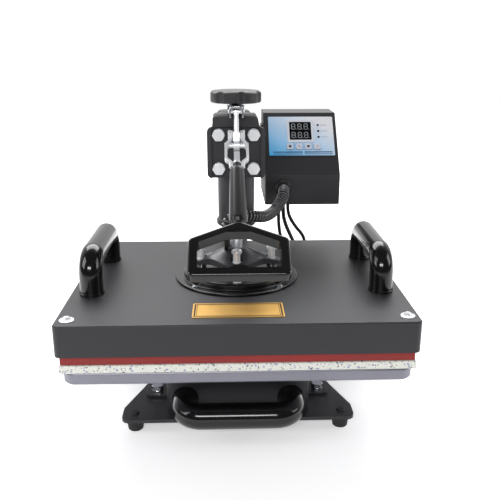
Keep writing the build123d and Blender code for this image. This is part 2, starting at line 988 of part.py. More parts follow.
def lever_pins():
    """The pivot bolt with its nut, the link pin and the strap rivet."""
    half = tongue_thickness / 2 + free_gap + strap_thickness
    bolt = along_x(pin_radius, -half, half, pivot_y, pivot_z)
    for side in (-1, 1):
        nut = extrude(RegularPolygon(hex_across / 2 - 0.9, 6, major_radius=False), 3)
        shift = half if side > 0 else -half - 3
        bolt += Pos(shift, pivot_y, pivot_z) * Rot(0, 90, 0) * nut
    reach = strap_bulge
    pin = along_x(link_pin_radius, -reach, reach, link_y, link_z)
    rivet_half = spigot_radius - 0.6 + strap_thickness
    y, z = lever_point(rivet_s)
    rivet = along_x(rivet_radius, -rivet_half, rivet_half, y, z)
    for side in (-1, 1):
        head = turned([(0, 0), (2.2, 0), (1.8, 1.1), (0, 1.4)])
        rivet += Pos(side * rivet_half, y, z) * Rot(0, side * 90, 0) * head
    return [bolt, pin, rivet]


def grip_outline(inset):
    """The five-sided loop, apex toward the pivot, drawn inward by the inset."""
    rise = grip_half / (grip_shoulder - grip_start)
    lean = atan2(1, rise)
    top = grip_start + inset / cos(pi / 2 - atan2(grip_half, grip_shoulder - grip_start))
    side = grip_half - inset
    shoulder = top + side * tan(lean)
    end = grip_end - inset
    points = [(top, 0), (shoulder, side), (end, side), (end, -side), (shoulder, -side)]
    face = make_face(Polyline(*points, close=True))
    return fillet(face.vertices(), max(grip_corner - inset * 0.4, 2))


def lever_grip():
    half = grip_thickness / 2
    outer = extrude(grip_outline(0), half, both=True)
    outer = fillet(outer.edges().filter_by(Plane.XY), 3)
    inner = extrude(grip_outline(grip_bar), half + 1, both=True)
    ring = outer - inner
    hump = Pos(grip_end - grip_bar, 0) * Ellipse(4.5, 9)
    hub = Pos(grip_start + 6, 0) * Rectangle(18, 24)
    ring += extrude(hump, half - 1.5, both=True) & outer
    ring += extrude(hub, half - 0.5, both=True) & outer
    socket = turned([
        (0, tube_neck - 1),
        (tube_radius_bottom + seat_gap, tube_neck - 1),
        (tube_radius_bottom + seat_gap, tube_neck),
        (tube_socket_radius + seat_gap, tube_neck + 6),
        (tube_socket_radius + seat_gap, tube_end + seat_gap),
        (0, tube_end + seat_gap),
    ])
    ring -= Rot(0, 90, 0) * socket
    return along_lever().location * ring


def link_rod():
    """The threaded rod between the lever's link pin and the yoke, with an eye at its foot."""
    half = tongue_thickness / 2
    lean = atan2(link_top_y - link_y, link_top_z - link_z)
    length = sqrt((link_top_y - link_y) ** 2 + (link_top_z - link_z) ** 2)
    eye = along_x(lug_radius - 1, -half, half, 0, 0) + block(-half, half, -3.4, 3.4, 0, 14)
    eye = eye + upright(link_rod_radius, 13, length + 1.5)
    groove = link_rod_radius - 0.35
    for ridge in range(6):
        z = 17 + ridge * 3
        eye -= upright(link_rod_radius + 1, z, z + 1) - upright(groove, z, z + 1)
    eye -= along_x(link_pin_radius + running_gap, -half - 1, half + 1, 0, 0)
    cross = along_x(link_pin_radius - 1, -yoke_width / 2 - 1.5, yoke_width / 2 + 1.5, 0, length)
    return Pos(0, link_y, link_z) * Rot(-degrees(lean), 0, 0) * (eye + cross)


def pressure_knob():
    body = turned([
        (spindle_radius + running_gap, knob_bottom),
        (knob_radius - 1.5, knob_bottom),
        (knob_radius, knob_bottom + 1.5),
        (knob_radius, knob_top - 3),
        (knob_radius - 3, knob_top - 0.5),
        (knob_radius - 8, knob_top),
        (0, knob_top),
        (0, knob_top - 1.5),
        (spindle_radius + running_gap, knob_top - 1.5),
    ])
    for lobe in range(knob_lobes):
        turn = (lobe + 0.5) * 360 / knob_lobes
        body -= Rot(0, 0, turn) * upright(9, knob_bottom - 1, knob_top + 1, knob_radius + 6.6)
    return body


# Control box
box_middle = box_left + box_width / 2
box_slope = Plane(
    origin=(box_middle, (box_front + box_top_front) / 2, (box_fold_z + box_top) / 2),
    x_dir=(1, 0, 0),
    z_dir=(0, box_fold_z - box_top, box_top_front - box_front),
)
switch_x = box_middle


def on_slope(shape, depth):
    return box_slope.location * Pos(0, 0, depth) * shape


def panel_cuts(depth):
    """What passes through the sloping face: the display, the lights and the buttons."""
    window = Pos(0, display_v, 0) * Box(display_width + 0.4, display_length + 0.4, depth)
    cuts = [window]
    for index in (-1, 0, 1):
        lamp_hole = Cylinder(light_radius + seat_gap, depth)
        cuts.append(Pos(light_x, light_v + index * light_pitch, 0) * lamp_hole)
    for index in range(4):
        key_hole = Box(button_hole, button_hole, depth)
        cuts.append(Pos(button_first + index * button_pitch, button_v, 0) * key_hole)
    return cuts


def box_profile(inset):
    run = box_top_front - box_front
    rise = box_top - box_fold_z
    long = sqrt(run ** 2 + rise ** 2)
    return make_face(Polyline(
        (box_front + inset, box_bottom + inset),
        (box_front + inset, box_fold_z - inset * (long - rise) / run),
        (box_top_front + inset * (long - run) / rise, box_top - inset),
        (box_rear, box_top - inset),
        (box_rear, box_bottom + inset),
        close=True,
    ))


def box_shell():
    shell = Pos(box_left, 0, 0) * extrude(Plane.YZ * box_profile(0), box_width)
    folds = shell.edges().filter_by(Axis.X).sort_by(Axis.Y)[:3]
    shell = fillet(folds, 1.5)
    inner = extrude(Plane.YZ * box_profile(box_wall), box_width - 2 * box_wall)
    shell -= Pos(box_left + box_wall, 0, 0) * inner
    for cut in panel_cuts(12):
        shell -= on_slope(cut, 0)
    shell -= along_y(grommet_radius, box_front - 5, box_front + 5, grommet_x, grommet_z)
    for x, y in cable_glands_at:
        shell -= upright(gland_radius, box_bottom - 1, box_bottom + box_wall + 1, x, y)
    return shell


def box_back():
    wall = box_wall
    left = box_left + wall + seat_gap
    right = box_left + box_width - wall - seat_gap
    low = box_bottom + wall + seat_gap
    high = box_top - wall - seat_gap
    plate = block(left, right, box_rear - wall, box_rear, low, high)
    half_x = switch_width / 2 + free_gap
    half_z = switch_length / 2 + switch_room
    frame_x = half_x + 3
    frame_z = half_z + 3
    plate += block(switch_x - frame_x, switch_x + frame_x, box_rear - wall, box_rear + 1.5,
                   switch_z - frame_z, switch_z + frame_z)
    plate -= block(switch_x - half_x, switch_x + half_x, box_rear - 10, box_rear + 5,
                   switch_z - half_z, switch_z + half_z)
    for side in (-1, 1):
        low_x, high_x = sorted((switch_x + side * half_x, switch_x + side * (half_x + 3)))
        ear = block(low_x, high_x, box_rear - 8, box_rear, switch_z - 4, switch_z + 4)
        ear -= along_x(1.5 + running_gap, low_x - 1, high_x + 1, box_rear - 4, switch_z)
        plate += ear
    for row in range(5):
        z = box_top - 22 - row * 6
        plate -= block(box_middle - 28, box_middle + 28, box_rear - 5, box_rear + 1, z, z + 2.4)
    return plate


def power_switch():
    """A rocker that turns on two stub pins, resting with its lower half out."""
    half = switch_width / 2
    long = switch_length / 2
    face = 3.4
    outline = make_face(Polyline(
        (-4, 0),
        (-2.5, -long * 0.8),
        (face, -long),
        (face - 1.6, 0),
        (face, long),
        (-2.5, long * 0.8),
        close=True,
    ))
    rocker = extrude(Plane.YZ * outline, half, both=True)
    rocker += along_x(1.5, -half - free_gap - 3, half + free_gap + 3, 0, 0)
    return Pos(switch_x, box_rear - 4, switch_z) * Rot(-8, 0, 0) * rocker


def control_panel():
    sheet = Pos(panel_x, panel_v, 0) * extrude(RectangleRounded(panel_width, panel_length, 1.5),
                                               panel_thickness)
    sheet = on_slope(sheet, 0)
    for cut in panel_cuts(12):
        sheet -= on_slope(cut, 0)
    return sheet


def display_module():
    bezel = extrude(RectangleRounded(display_bezel, display_bezel, 2), 1.2)
    bezel = fillet(bezel.edges().group_by(Axis.Z)[-1], 0.6)
    body = Pos(0, 0, -3.4) * Box(display_width, display_length, 7)
    window = Pos(0, 0, 1.2) * Box(display_width - 1.5, display_length - 1.5, 0.8)
    return on_slope(Pos(0, display_v, panel_thickness) * (bezel + body - window), 0)


def indicator_lights():
    light = turned([
        (0, -board_depth + 1.6),
        (light_radius, -board_depth + 1.6),
        (light_radius, 1.4),
        (light_radius - 0.6, 2.0),
        (0, 2.0),
    ])
    return [on_slope(Pos(light_x, light_v + i * light_pitch, 0) * light, 0) for i in (-1, 0, 1)]


def circuit_board():
    board = Pos(panel_x, panel_v, -board_depth) * extrude(Rectangle(panel_width - 10, panel_length - 6), 1.6)
    for index in range(4):
        x = button_first + index * button_pitch
        board += Pos(x, button_v, -board_depth + 1.6) * extrude(Rectangle(6, 6), 2)
    for x in (-30, 30):
        board += Pos(x, panel_v + 12, -board_depth + 1.6) * Cylinder(
            3, board_depth - 1.6 - box_wall, align=(Align.CENTER, Align.CENTER, Align.MIN))
    return on_slope(board, 0)


def button(index):
    cap = Box(button_size, button_size, panel_thickness + button_height + box_wall,
              align=(Align.CENTER, Align.CENTER, Align.MIN))
    cap = Pos(0, 0, -box_wall) * cap
    cap = fillet(cap.edges().filter_by(Axis.Z), 1)
    cap = fillet(cap.edges().group_by(Axis.Z)[-1], 0.6)
    skirt = Box(button_size + 2, button_size + 2, 1.2, align=(Align.CENTER, Align.CENTER, Align.MAX))
    cap += Pos(0, 0, -box_wall - 0.1) * skirt
    cap += Box(4, 4, 3.3, align=(Align.CENTER, Align.CENTER, Align.MAX)) & Pos(0, 0, -2) * Box(9, 9, 8)
    stem_low = -board_depth + 3.6 + button_travel + 0.2
    cap += Pos(0, 0, stem_low) * Box(3, 3, -stem_low, align=(Align.CENTER, Align.CENTER, Align.MIN))
    return on_slope(Pos(button_first + index * button_pitch, button_v, 0) * cap, 0)


def hose_grommet():
    collar = turned([
        (0, -box_wall - 2),
        (grommet_radius + 1.5, -box_wall - 2),
        (grommet_radius + 1.5, -box_wall - seat_gap),
        (grommet_radius - seat_gap, -box_wall - seat_gap),
        (grommet_radius - seat_gap, 0),
        (grommet_radius + 2.5, 0),
        (grommet_radius + 2.5, 3),
        (grommet_radius, grommet_out),
        (0, grommet_out),
    ])
    return Pos(grommet_x, box_front, grommet_z) * Rot(90, 0, 0) * collar


def cable_glands():
    gland = turned([
        (0, -gland_length),
        (gland_radius - 0.2, -gland_length),
        (gland_radius + 0.8, -gland_collar),
        (gland_radius + 2.2, -gland_collar),
        (gland_radius + 2.2, 0),
        (gland_radius - seat_gap, 0),
        (gland_radius - seat_gap, box_wall + 1),
        (0, box_wall + 1),
    ])
    return [Pos(x, y, box_bottom) * gland for x, y in cable_glands_at]


def hose_gland():
    return turned([
        (0, flange_top),
        (6.5, flange_top),
        (6.5, flange_top + 4),
        (5, flange_top + 6),
        (4, flange_top + hose_gland_height),
        (0, flange_top + hose_gland_height),
    ]).moved(Pos(tail_end_x, tail_end_y, 0))


# Cords and hose
def bends(points, share=0.45):
    """Radii for a route of straight runs, each a share of its shorter run."""
    radii = []
    for a, b, c in zip(points, points[1:], points[2:]):
        before = Vector(*b) - Vector(*a)
        after = Vector(*c) - Vector(*b)
        turn = radians(before.get_angle(after))
        radii.append(share * min(before.length, after.length) / tan(turn / 2))
    return radii


def route(name, points):
    radii = bends(points)
    path = FilletPolyline(*points, radius=radii)
    print(name, "length", round(path.length), "smallest radius", round(min(radii), 1))
    return path


hose_points = [
    (grommet_x, box_front - grommet_out, grommet_z),
    (grommet_x, 54, grommet_z),
    (58.5, 37, 252),
    (47, 16, 243),
    (35, -8, 243),
    (22, -25, 248),
    (5, -34.5, 252),
    (-9, -36, 248),
    (-12, -35, 236),
    (-12, -34, 227),
]
tail_points = [
    (-12, -34, 227),
    (-12, -30, 220),
    (-12.2, -14, 216),
    (-12.2, 8, 217),
    (-12.4, 28, 214),
    (tail_end_x, 43, 204),
    (tail_end_x, tail_end_y, 194),
    (tail_end_x, tail_end_y, flange_top + hose_gland_height),
]


def ring_at(path, distance, radius):
    heading = path.tangent_at(distance, PositionMode.LENGTH)
    place = path.position_at(distance, PositionMode.LENGTH)
    return Plane(origin=place, x_dir=hose_side.cross(heading), z_dir=heading) * Circle(radius)


hose_side = Vector(0.5, 0.6, -0.9)


def spiral_hose():
    """The spiral-wrapped hose from the box, and the bare lead that leaves its end."""
    path = route("spiral_hose", hose_points)
    straight = 2 * hose_radius * 0.5
    ribs = int((path.length - 2 * straight) / hose_pitch)
    root = hose_radius - rib_depth
    rings = [(0, root)]
    for rib in range(ribs):
        start = straight + rib * hose_pitch
        for share, radius in ((0, root), (0.2, hose_radius), (0.62, hose_radius), (0.82, root)):
            rings.append((start + share * hose_pitch, radius))
    rings.append((path.length, root))
    hose = None
    for first in range(0, len(rings) - 1, stretch_rings):
        stretch = rings[first:first + stretch_rings + 1]
        outer = loft([ring_at(path, place, radius) for place, radius in stretch], ruled=True)
        inner = loft([ring_at(path, place, hose_bore) for place, radius in stretch], ruled=True)
        hose = outer - inner if hose is None else hose + (outer - inner)
    tail_path = route("bare lead", tail_points)
    tail = sweep((tail_path ^ 0) * Circle(cable_radius), tail_path)
    return [hose, tail]


def cord_tube(name, points, radius):
    path = route(name, points)
    tube = sweep((path ^ 0) * Circle(radius), path)
    print(name, "volume share", round(tube.volume / (pi * radius ** 2 * path.length), 4))
    return tube


mains_exit = (cable_glands_at[0][0], cable_glands_at[0][1], box_bottom - gland_length)
loop_start = (cable_glands_at[1][0], cable_glands_at[1][1], box_bottom - gland_length)
loop_end = (cable_glands_at[2][0], cable_glands_at[2][1], box_bottom - gland_length)


def coil_place(turn):
    """The coil's middle line: a layer spiralling in, a climb, then a layer spiralling out."""
    inward = min(turn, coil_in)
    outward = max(turn - coil_in - 0.5, 0)
    radius = coil_radius - coil_step * inward + coil_step * outward
    climb = min(max((turn - coil_in) / 0.5, 0), 1)
    height = mains_radius + coil_step * (1 - cos(pi * climb)) / 2
    angle = 2 * pi * turn
    return Vector(coil_middle[0] + radius * cos(angle), coil_middle[1] + radius * sin(angle), height)


def coil_heading(turn):
    step = 0.002
    return (coil_place(turn + step) - coil_place(max(turn - step, 0))).normalized()


def biarc(start, start_heading, end, end_heading):
    """Two arcs from one place and heading to another."""
    gap = end - start
    both = start_heading + end_heading
    facing = 2 * (1 - start_heading.dot(end_heading))
    along = gap.dot(both)
    if facing < 1e-6:
        reach = gap.dot(gap) / (4 * gap.dot(end_heading))
    else:
        reach = (-along + sqrt(along ** 2 + facing * gap.dot(gap))) / facing
    middle = (start + end + (start_heading - end_heading) * reach) * 0.5
    heading = (end - end_heading * reach - start - start_heading * reach).normalized()
    return [TangentArc(start, middle, tangent=start_heading), TangentArc(middle, end, tangent=heading)]


def coil_route():
    places = []
    quarters = int(coil_turns * 4)
    for quarter in range(quarters + 1):
        turn = quarter / 4
        places.append((coil_place(turn), coil_heading(turn)))
    last = places[-1][0]
    places.append((Vector(last.X + plug_aside, last.Y + plug_out, plug_z), Vector(0, 1, 0)))
    arcs = []
    for (a, toward_a), (b, toward_b) in zip(places, places[1:]):
        arcs += biarc(a, toward_a, b, toward_b)
    return Wire(arcs)


def least_gap(wire, diameter):
    """The least space between stretches of a tube that lie at least three diameters apart along it."""
    count = int(wire.length / 4)
    points = [wire.position_at(i * wire.length / count, PositionMode.LENGTH) for i in range(count + 1)]
    skip = int(3 * diameter / 4) + 1
    return min(
        (points[i] - points[j]).length for i in range(count + 1) for j in range(i + skip, count + 1)
    ) - diameter


def mains_coil():
    wire = coil_route()
    tube = sweep((wire ^ 0) * Circle(mains_radius), wire)
    print("mains_coil length", round(wire.length), "least gap", round(least_gap(wire, 2 * mains_radius), 2))
    return tube


def mains_points():
    last = coil_place(0)
    return [
        mains_exit,
        (74, 187, 199),
        (77, 189.5, 184),
        (84, 194, 167),
        (93, 199.5, 148),
        (103, 206, 126),
        (113, 213, 100),
        (122, 221, 72),
        (130, 232, 44),
        (137, 248, 20),
        (142, 269, 6),
        tuple(last - coil_heading(0) * 16),
        tuple(last),
    ]


def mains_cord():
    return cord_tube("mains_cord", mains_points(), mains_radius)


accessory_points = [
    loop_start,
    (66, 172, 198),
    (67, 173, 179),
    (70.5, 174.6, 162),
    (77.5, 176.2, 149),
    (87, 177, 141.5),
    (97, 177.8, 141),
    (105, 178, 147),
    (107.5, 178, 157),
    (103, 177.6, 168),
    (94, 177, 178),
    (86, 176.4, 190),
    (80, 176, 203),
    loop_end,
]


def accessory_lead():
    """A spare lead that hangs behind the head in one long loop, parked back under the box."""
    return cord_tube("accessory_lead", accessory_points, cable_radius - 0.4)


def mains_plug():
    """A moulded two-pin plug lying flat where the coil's end meets it."""
    last = coil_place(coil_turns)
    x, y = last.X + plug_aside, last.Y + plug_out
    sections = [
        (0, 4.6, 4.6, 2.2),
        (12, 5.2, 5.0, 2.4),
        (17, 11, 7.5, 3.5),
        (32, 13, 8.5, 4),
        (42, 12, 8.2, 4),
    ]
    rings = [
        Plane(origin=(0, along, 0), x_dir=(1, 0, 0), z_dir=(0, 1, 0)) * RectangleRounded(2 * w, 2 * h, r)
        for along, w, h, r in sections
    ]
    body = loft(rings, ruled=True)
    for side in (-1, 1):
        body += along_y(2.4, 41, 61, side * 9.5, 0)
    return Pos(x, y, plug_z) * body


pieces = {
    "base_plate": base_plate(),
    "rubber_feet": rubber_feet(),
    "pedestal": pedestal(),
    "base_bolts": base_bolts(),
    "column_post": column_post(),
    "lower_platen": lower_platen(),
    "foam_pad": foam_pad(),
    "silicone_pad": silicone_pad(),
    "front_handle": front_handle(),
    "front_handle_screws": front_handle_screws(),
    "platen_cover": platen_cover(),
    "heat_platen": heat_platen(),
    "heating_element": heating_element(),
    "insulation_board": insulation_board(),
    "left_handle": handle_turn[0] * loop_handle(handle_radius),
    "right_handle": handle_turn[1] * loop_handle(handle_radius),
    "handle_screws": handle_screws(),
    "cover_screws": cover_screws(),
    "brass_plate": brass_plate(),
    "mounting_disc": mounting_disc(),
    "disc_screws": disc_screws(),
    "spider_plate": spider_plate(),
    "spider_bolts": spider_bolts(),
    "spring_washers": spring_washers(),
    "press_rod": press_rod(),
    "hose_gland": hose_gland(),
    "yoke": yoke(),
    "pressure_knob": pressure_knob(),
    "press_sleeve": press_sleeve(),
    "arm_bushes": arm_bushes(),
    "head_block": head_block(),
    "front_clamp_plate": front_clamp_plate(),
    "clamp_bolts": clamp_bolts(),
    "cap_block": cap_block(),
    "arm_beam": arm_beam(),
    "swing_sleeve": swing_sleeve(),
    "lever_tube": lever_tube(),
    "lever_grip": lever_grip(),
    "lever_straps": lever_straps(),
    "lever_pins": lever_pins(),
    "link_rod": link_rod(),
    "box_shell": box_shell(),
    "box_back": box_back(),
    "control_panel": control_panel(),
    "display_module": display_module(),
    "indicator_lights": indicator_lights(),
    "circuit_board": circuit_board(),
    "hose_grommet": hose_grommet(),
    "cable_glands": cable_glands(),
    "power_switch": power_switch(),
    "spiral_hose": spiral_hose(),
    "accessory_lead": accessory_lead(),
    "mains_cord": mains_cord(),
    "mains_coil": mains_coil(),
    "mains_plug": mains_plug(),
}
for index, word in enumerate(("set", "down", "up", "start")):
    pieces["button_" + word] = button(index)

cords = ("spiral_hose", "accessory_lead", "mains_cord", "mains_coil", "mains_plug")


def solids_of(shape):
    group = list(shape) if isinstance(shape, list) else [shape]
    return [solid for member in group for solid in member.solids()]


solids = {name: solids_of(shape) for name, shape in pieces.items()}
rooms = [solid.bounding_box() for name, group in solids.items() if name not in cords for solid in group]
low = [min(room.min.X for room in rooms), min(room.min.Y for room in rooms)]
high = [max(room.max.X for room in rooms), max(room.max.Y for room in rooms)]
shift = Pos(-(low[0] + high[0]) / 2, -(low[1] + high[1]) / 2, 0)
print("press axis at", round(shift.position.X, 3), round(shift.position.Y, 3))
print("size", round(high[0] - low[0], 1), round(high[1] - low[1], 1), round(max(r.max.Z for r in rooms), 1))

os.makedirs("parts", exist_ok=True)
for name, group in solids.items():
    moved = [shift * solid for solid in group]
    export_step(moved[0] if len(moved) == 1 else Compound(children=moved), f"parts/{name}.step")
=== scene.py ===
# %% [markdown]
# A combo heat press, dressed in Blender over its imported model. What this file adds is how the
# machine looks: the paint, the bright bolts, the pads, the hose and the leads, and the light
# that shows them.

import bpy
import bmesh
import json
from math import cos, pi, radians, sin
from mathutils import Matrix, Vector

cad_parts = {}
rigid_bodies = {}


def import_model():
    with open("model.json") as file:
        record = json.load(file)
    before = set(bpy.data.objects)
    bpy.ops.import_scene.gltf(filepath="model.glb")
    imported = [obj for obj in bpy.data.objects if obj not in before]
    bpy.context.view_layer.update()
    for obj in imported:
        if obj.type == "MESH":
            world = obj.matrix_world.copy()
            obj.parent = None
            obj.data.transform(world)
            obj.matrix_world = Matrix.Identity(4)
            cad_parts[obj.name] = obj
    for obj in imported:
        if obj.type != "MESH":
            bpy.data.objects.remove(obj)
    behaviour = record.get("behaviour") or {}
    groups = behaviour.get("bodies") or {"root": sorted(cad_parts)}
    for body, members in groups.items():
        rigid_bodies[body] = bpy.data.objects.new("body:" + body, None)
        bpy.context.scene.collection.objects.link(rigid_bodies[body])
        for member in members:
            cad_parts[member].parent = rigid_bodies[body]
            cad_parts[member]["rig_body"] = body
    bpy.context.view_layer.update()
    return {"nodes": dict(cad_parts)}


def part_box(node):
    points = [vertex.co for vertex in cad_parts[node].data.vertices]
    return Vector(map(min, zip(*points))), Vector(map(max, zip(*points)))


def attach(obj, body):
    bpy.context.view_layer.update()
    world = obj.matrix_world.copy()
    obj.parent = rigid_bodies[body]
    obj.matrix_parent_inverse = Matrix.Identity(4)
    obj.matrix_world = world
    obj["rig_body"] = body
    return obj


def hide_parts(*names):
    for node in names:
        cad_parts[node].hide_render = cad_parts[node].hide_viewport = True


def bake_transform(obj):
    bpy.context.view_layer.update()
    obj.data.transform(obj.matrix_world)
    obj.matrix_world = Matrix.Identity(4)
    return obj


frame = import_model()
nodes = frame["nodes"]

# %% [markdown]
# The drawing was made about the axis of the press, in millimetres. Blender works in metres about
# the middle of the footprint, so one helper turns a place on the drawing into a place here. The
# stepped disc is round about that axis, so the middle of its box says where the axis stands.

# %% From the drawing to the scene
MM_PER_METRE = 1000
disc_low, disc_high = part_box("mounting_disc")
AXIS_Y = round((disc_low.y + disc_high.y) / 2 * MM_PER_METRE, 2)


def at(x, y, z):
    """A place on the drawing, in millimetres, as a place in the scene."""
    return Vector((x, y + AXIS_Y, z)) / MM_PER_METRE


print("the press axis stands at", tuple(at(0, 0, 0)))

# %% [markdown]
# The camera stands where the photographer's did. The four top corners of the heat head were
# matched by trying camera places until all four fell on their pixels, which gives the distance, a
# slight turn to the right and a look down of about seventeen degrees.

# %% Camera
CAMERA_PLACE = (-11.1, -785.3, 442.7)
PITCH = radians(17.279)
YAW = radians(2.049)
ROLL = radians(0.054)
FOCAL_PIXELS = 656.75
PICTURE_PIXELS = 500
SENSOR_WIDTH = 36
NEAREST_SEEN = 0.01


def set_camera():
    forward = Vector((sin(YAW) * cos(PITCH), cos(YAW) * cos(PITCH), -sin(PITCH)))
    right = Vector((cos(YAW), -sin(YAW), 0))
    up = right.cross(forward)
    tilted_right = right * cos(ROLL) + up * sin(ROLL)
    tilted_up = up * cos(ROLL) - right * sin(ROLL)
    data = bpy.data.cameras.new("camera")
    data.lens = SENSOR_WIDTH * FOCAL_PIXELS / PICTURE_PIXELS
    data.clip_start = NEAREST_SEEN
    camera = bpy.data.objects.new("camera", data)
    bpy.context.scene.collection.objects.link(camera)
    turn = Matrix((tilted_right, tilted_up, -forward)).transposed().to_4x4()
    camera.matrix_world = Matrix.Translation(at(*CAMERA_PLACE)) @ turn
    bpy.context.scene.camera = camera
    return camera


camera = set_camera()
print("lens", round(camera.data.lens, 2), "mm")

# %% [markdown]
# Three flexible things leave the control box: a spiral-wrapped hose to the heat head, a spare lead
# that is parked in a loop, and the mains lead. Each follows one smooth curve through a few points,
# as a real lead does between the places that hold it. A curve with no thickness gives the middle
# line, and it is read back as points wherever a tube, a rib or a turn has to follow it.

# %% A smooth middle line
CURVE_STEPS = 10


def link_new(name, data):
    """A new object for a mesh, a curve or a light, placed in the scene."""
    made = bpy.data.objects.new(name, data)
    bpy.context.scene.collection.objects.link(made)
    return made


def smooth_line(name, points):
    """The points of a smooth curve that is led by a few points."""
    data = bpy.data.curves.new(name, "CURVE")
    data.dimensions = "3D"
    data.resolution_u = CURVE_STEPS
    spline = data.splines.new("NURBS")
    spline.points.add(len(points) - 1)
    for point, place in zip(spline.points, points):
        point.co = (*place, 1)
    spline.order_u = 3
    spline.use_endpoint_u = True
    line = link_new(name, data)
    bpy.context.view_layer.update()
    shape = bpy.data.meshes.new_from_object(line.evaluated_get(bpy.context.evaluated_depsgraph_get()))
    places = [v.co.copy() for v in shape.vertices]
    bpy.data.meshes.remove(shape)
    bpy.data.objects.remove(line)
    return places


def line_length(places):
    return sum((b - a).length for a, b in zip(places, places[1:]))


def along_line(places, distance):
    """The place and heading at a distance along the points."""
    for a, b in zip(places, places[1:]):
        step = (b - a).length
        if distance <= step:
            return a.lerp(b, distance / step), (b - a).normalized()
        distance -= step
    return places[-1].copy(), (places[-1] - places[-2]).normalized()


# %% [markdown]
# A tube is a row of rings joined side by side. Each ring stands square to the line, and its first
# point is carried on from the ring before it, so that the tube does not twist. A ribbed tube also
# notes on every point how far it rises from groove to crest, for its finish to read.

# %% A tube round a line
FIRST_SIDE = Vector((0.5, 0.6, -0.9))


def tube_mesh(name, places, rings, sides):
    """A closed tube. rings holds (distance, radius) pairs along the points."""
    mesh = bpy.data.meshes.new(name)
    shape = bmesh.new()
    side = FIRST_SIDE
    turns = [2 * pi * k / sides for k in range(sides)]
    loops = []
    for distance, radius in rings:
        middle, heading = along_line(places, distance)
        side = (side - heading * side.dot(heading)).normalized()
        other = heading.cross(side)
        loops.append([shape.verts.new(middle + (side * cos(t) + other * sin(t)) * radius) for t in turns])
    for a, b in zip(loops, loops[1:]):
        for k in range(sides):
            n = (k + 1) % sides
            shape.faces.new((a[k], a[n], b[n], b[k]))
    shape.faces.new(list(reversed(loops[0])))
    shape.faces.new(loops[-1])
    for face in shape.faces:
        face.smooth = len(face.verts) == 4
    bmesh.ops.recalc_face_normals(shape, faces=shape.faces)
    shape.to_mesh(mesh)
    shape.free()
    mark_crests(mesh, rings, sides)
    return link_new(name, mesh)


def mark_crests(mesh, rings, sides):
    """Note on each point how far its ring rises from the thinnest ring to the thickest."""
    thick = max(radius for _, radius in rings)
    thin = min(radius for _, radius in rings)
    if thick > thin:
        crest = mesh.attributes.new("crest", "FLOAT", "POINT")
        for k, (_, radius) in enumerate(rings):
            for vert in range(k * sides, (k + 1) * sides):
                crest.data[vert].value = (radius - thin) / (thick - thin)


def plain_lead(name, route, radius, step):
    """A round lead along a smooth line, and the points that it follows. Sizes in millimetres."""
    places = smooth_line(name + "_line", route)
    long = line_length(places)
    count = int(long / (step / MM_PER_METRE))
    rings = [(long * k / count, radius / MM_PER_METRE) for k in range(count + 1)]
    return tube_mesh(name, places, rings, LEAD_SIDES), places


# %% [markdown]
# The mains lead leaves a tapered strain relief under the box, sinks behind the machine to the
# table and is wound there for storage: one layer of turns winds inwards, climbs, and a second
# layer winds out again on top, so that the plug comes to lie beside the coil.

# %% The mains lead
LEAD_SIDES = 12
MAINS_RADIUS = 3.0
MAINS_STEP = 3.5
COIL_TURNS = 6
COIL_RADIUS = 43
COIL_STEP = 7.4
COIL_IN = 2.5
COIL_CLIMB = 0.5
COIL_MIDDLE = (100, 305)
POINTS_PER_TURN = 16
PLUG_Z = 9.8


def coil_place(turn):
    inward = min(turn, COIL_IN)
    outward = max(turn - COIL_IN - COIL_CLIMB, 0)
    radius = COIL_RADIUS - COIL_STEP * inward + COIL_STEP * outward
    climb = min(max((turn - COIL_IN) / COIL_CLIMB, 0), 1)
    height = MAINS_RADIUS + COIL_STEP * (1 - cos(pi * climb)) / 2
    angle = 2 * pi * turn
    return COIL_MIDDLE[0] + radius * cos(angle), COIL_MIDDLE[1] + radius * sin(angle), height


def mains_route():
    points = [(74, 187, 216), (74, 187, 199), (77, 189.5, 184), (84, 194, 167), (93, 199.5, 148),
              (103, 206, 126), (113, 213, 100), (122, 221, 72), (130, 232, 44), (137, 248, 20),
              (142, 269, 6), (143.4, 289, 3)]
    points += [coil_place(step / POINTS_PER_TURN) for step in range(COIL_TURNS * POINTS_PER_TURN + 1)]
    last = points[-1]
    points.append((last[0] + 2.4, last[1] + 14, PLUG_Z + 0.2))
    points.append((last[0] + 4, last[1] + 28, PLUG_Z))
    return [at(*p) for p in points]


mains_lead, mains_places = plain_lead("mains_lead", mains_route(), MAINS_RADIUS, MAINS_STEP)
print("mains lead", round(line_length(mains_places), 3), "m,", len(mains_lead.data.vertices), "points")

# %% [markdown]
# Two shorter leads are made in the same way. The spare lead hangs in a loop between two glands
# under the box. The tail is the bare end of the heater's wires, from the hose down to the disc.

# %% The spare lead and the tail
SPARE_RADIUS = 2.6
TAIL_RADIUS = 3.0
SHORT_STEP = 3.0

spare_lead, spare_places = plain_lead("spare_lead", [at(*p) for p in (
    (66, 172, 216), (66, 172, 198), (67, 173, 179), (70.5, 174.6, 162), (77.5, 176.2, 149),
    (87, 177, 141.5), (97, 177.8, 141), (105, 178, 147), (107.5, 178, 157), (103, 177.6, 168),
    (94, 177, 178), (86, 176.4, 190), (80, 176, 203), (80, 176, 216))], SPARE_RADIUS, SHORT_STEP)
tail_lead, tail_places = plain_lead("tail_lead", [at(*p) for p in (
    (-12, -34, 227), (-12, -33.8, 216), (-12.1, -28, 207.2), (-12.2, -14, 206.6), (-12.2, 8, 206.6),
    (-12.4, 28, 206.2), (-12.5, 43, 203), (-12.5, 48, 194), (-12.5, 48, 186.3))], TAIL_RADIUS, SHORT_STEP)
print("spare lead", round(line_length(spare_places), 3), "m, tail", round(line_length(tail_places), 3), "m")

# %% [markdown]
# The hose is a plastic strip wound into a spiral round the heater's wires. Its outline goes up and
# down once for each turn, so a tube whose radius follows that outline shows the same shadow lines
# without thousands of faces. A short bare collar is left at each end.

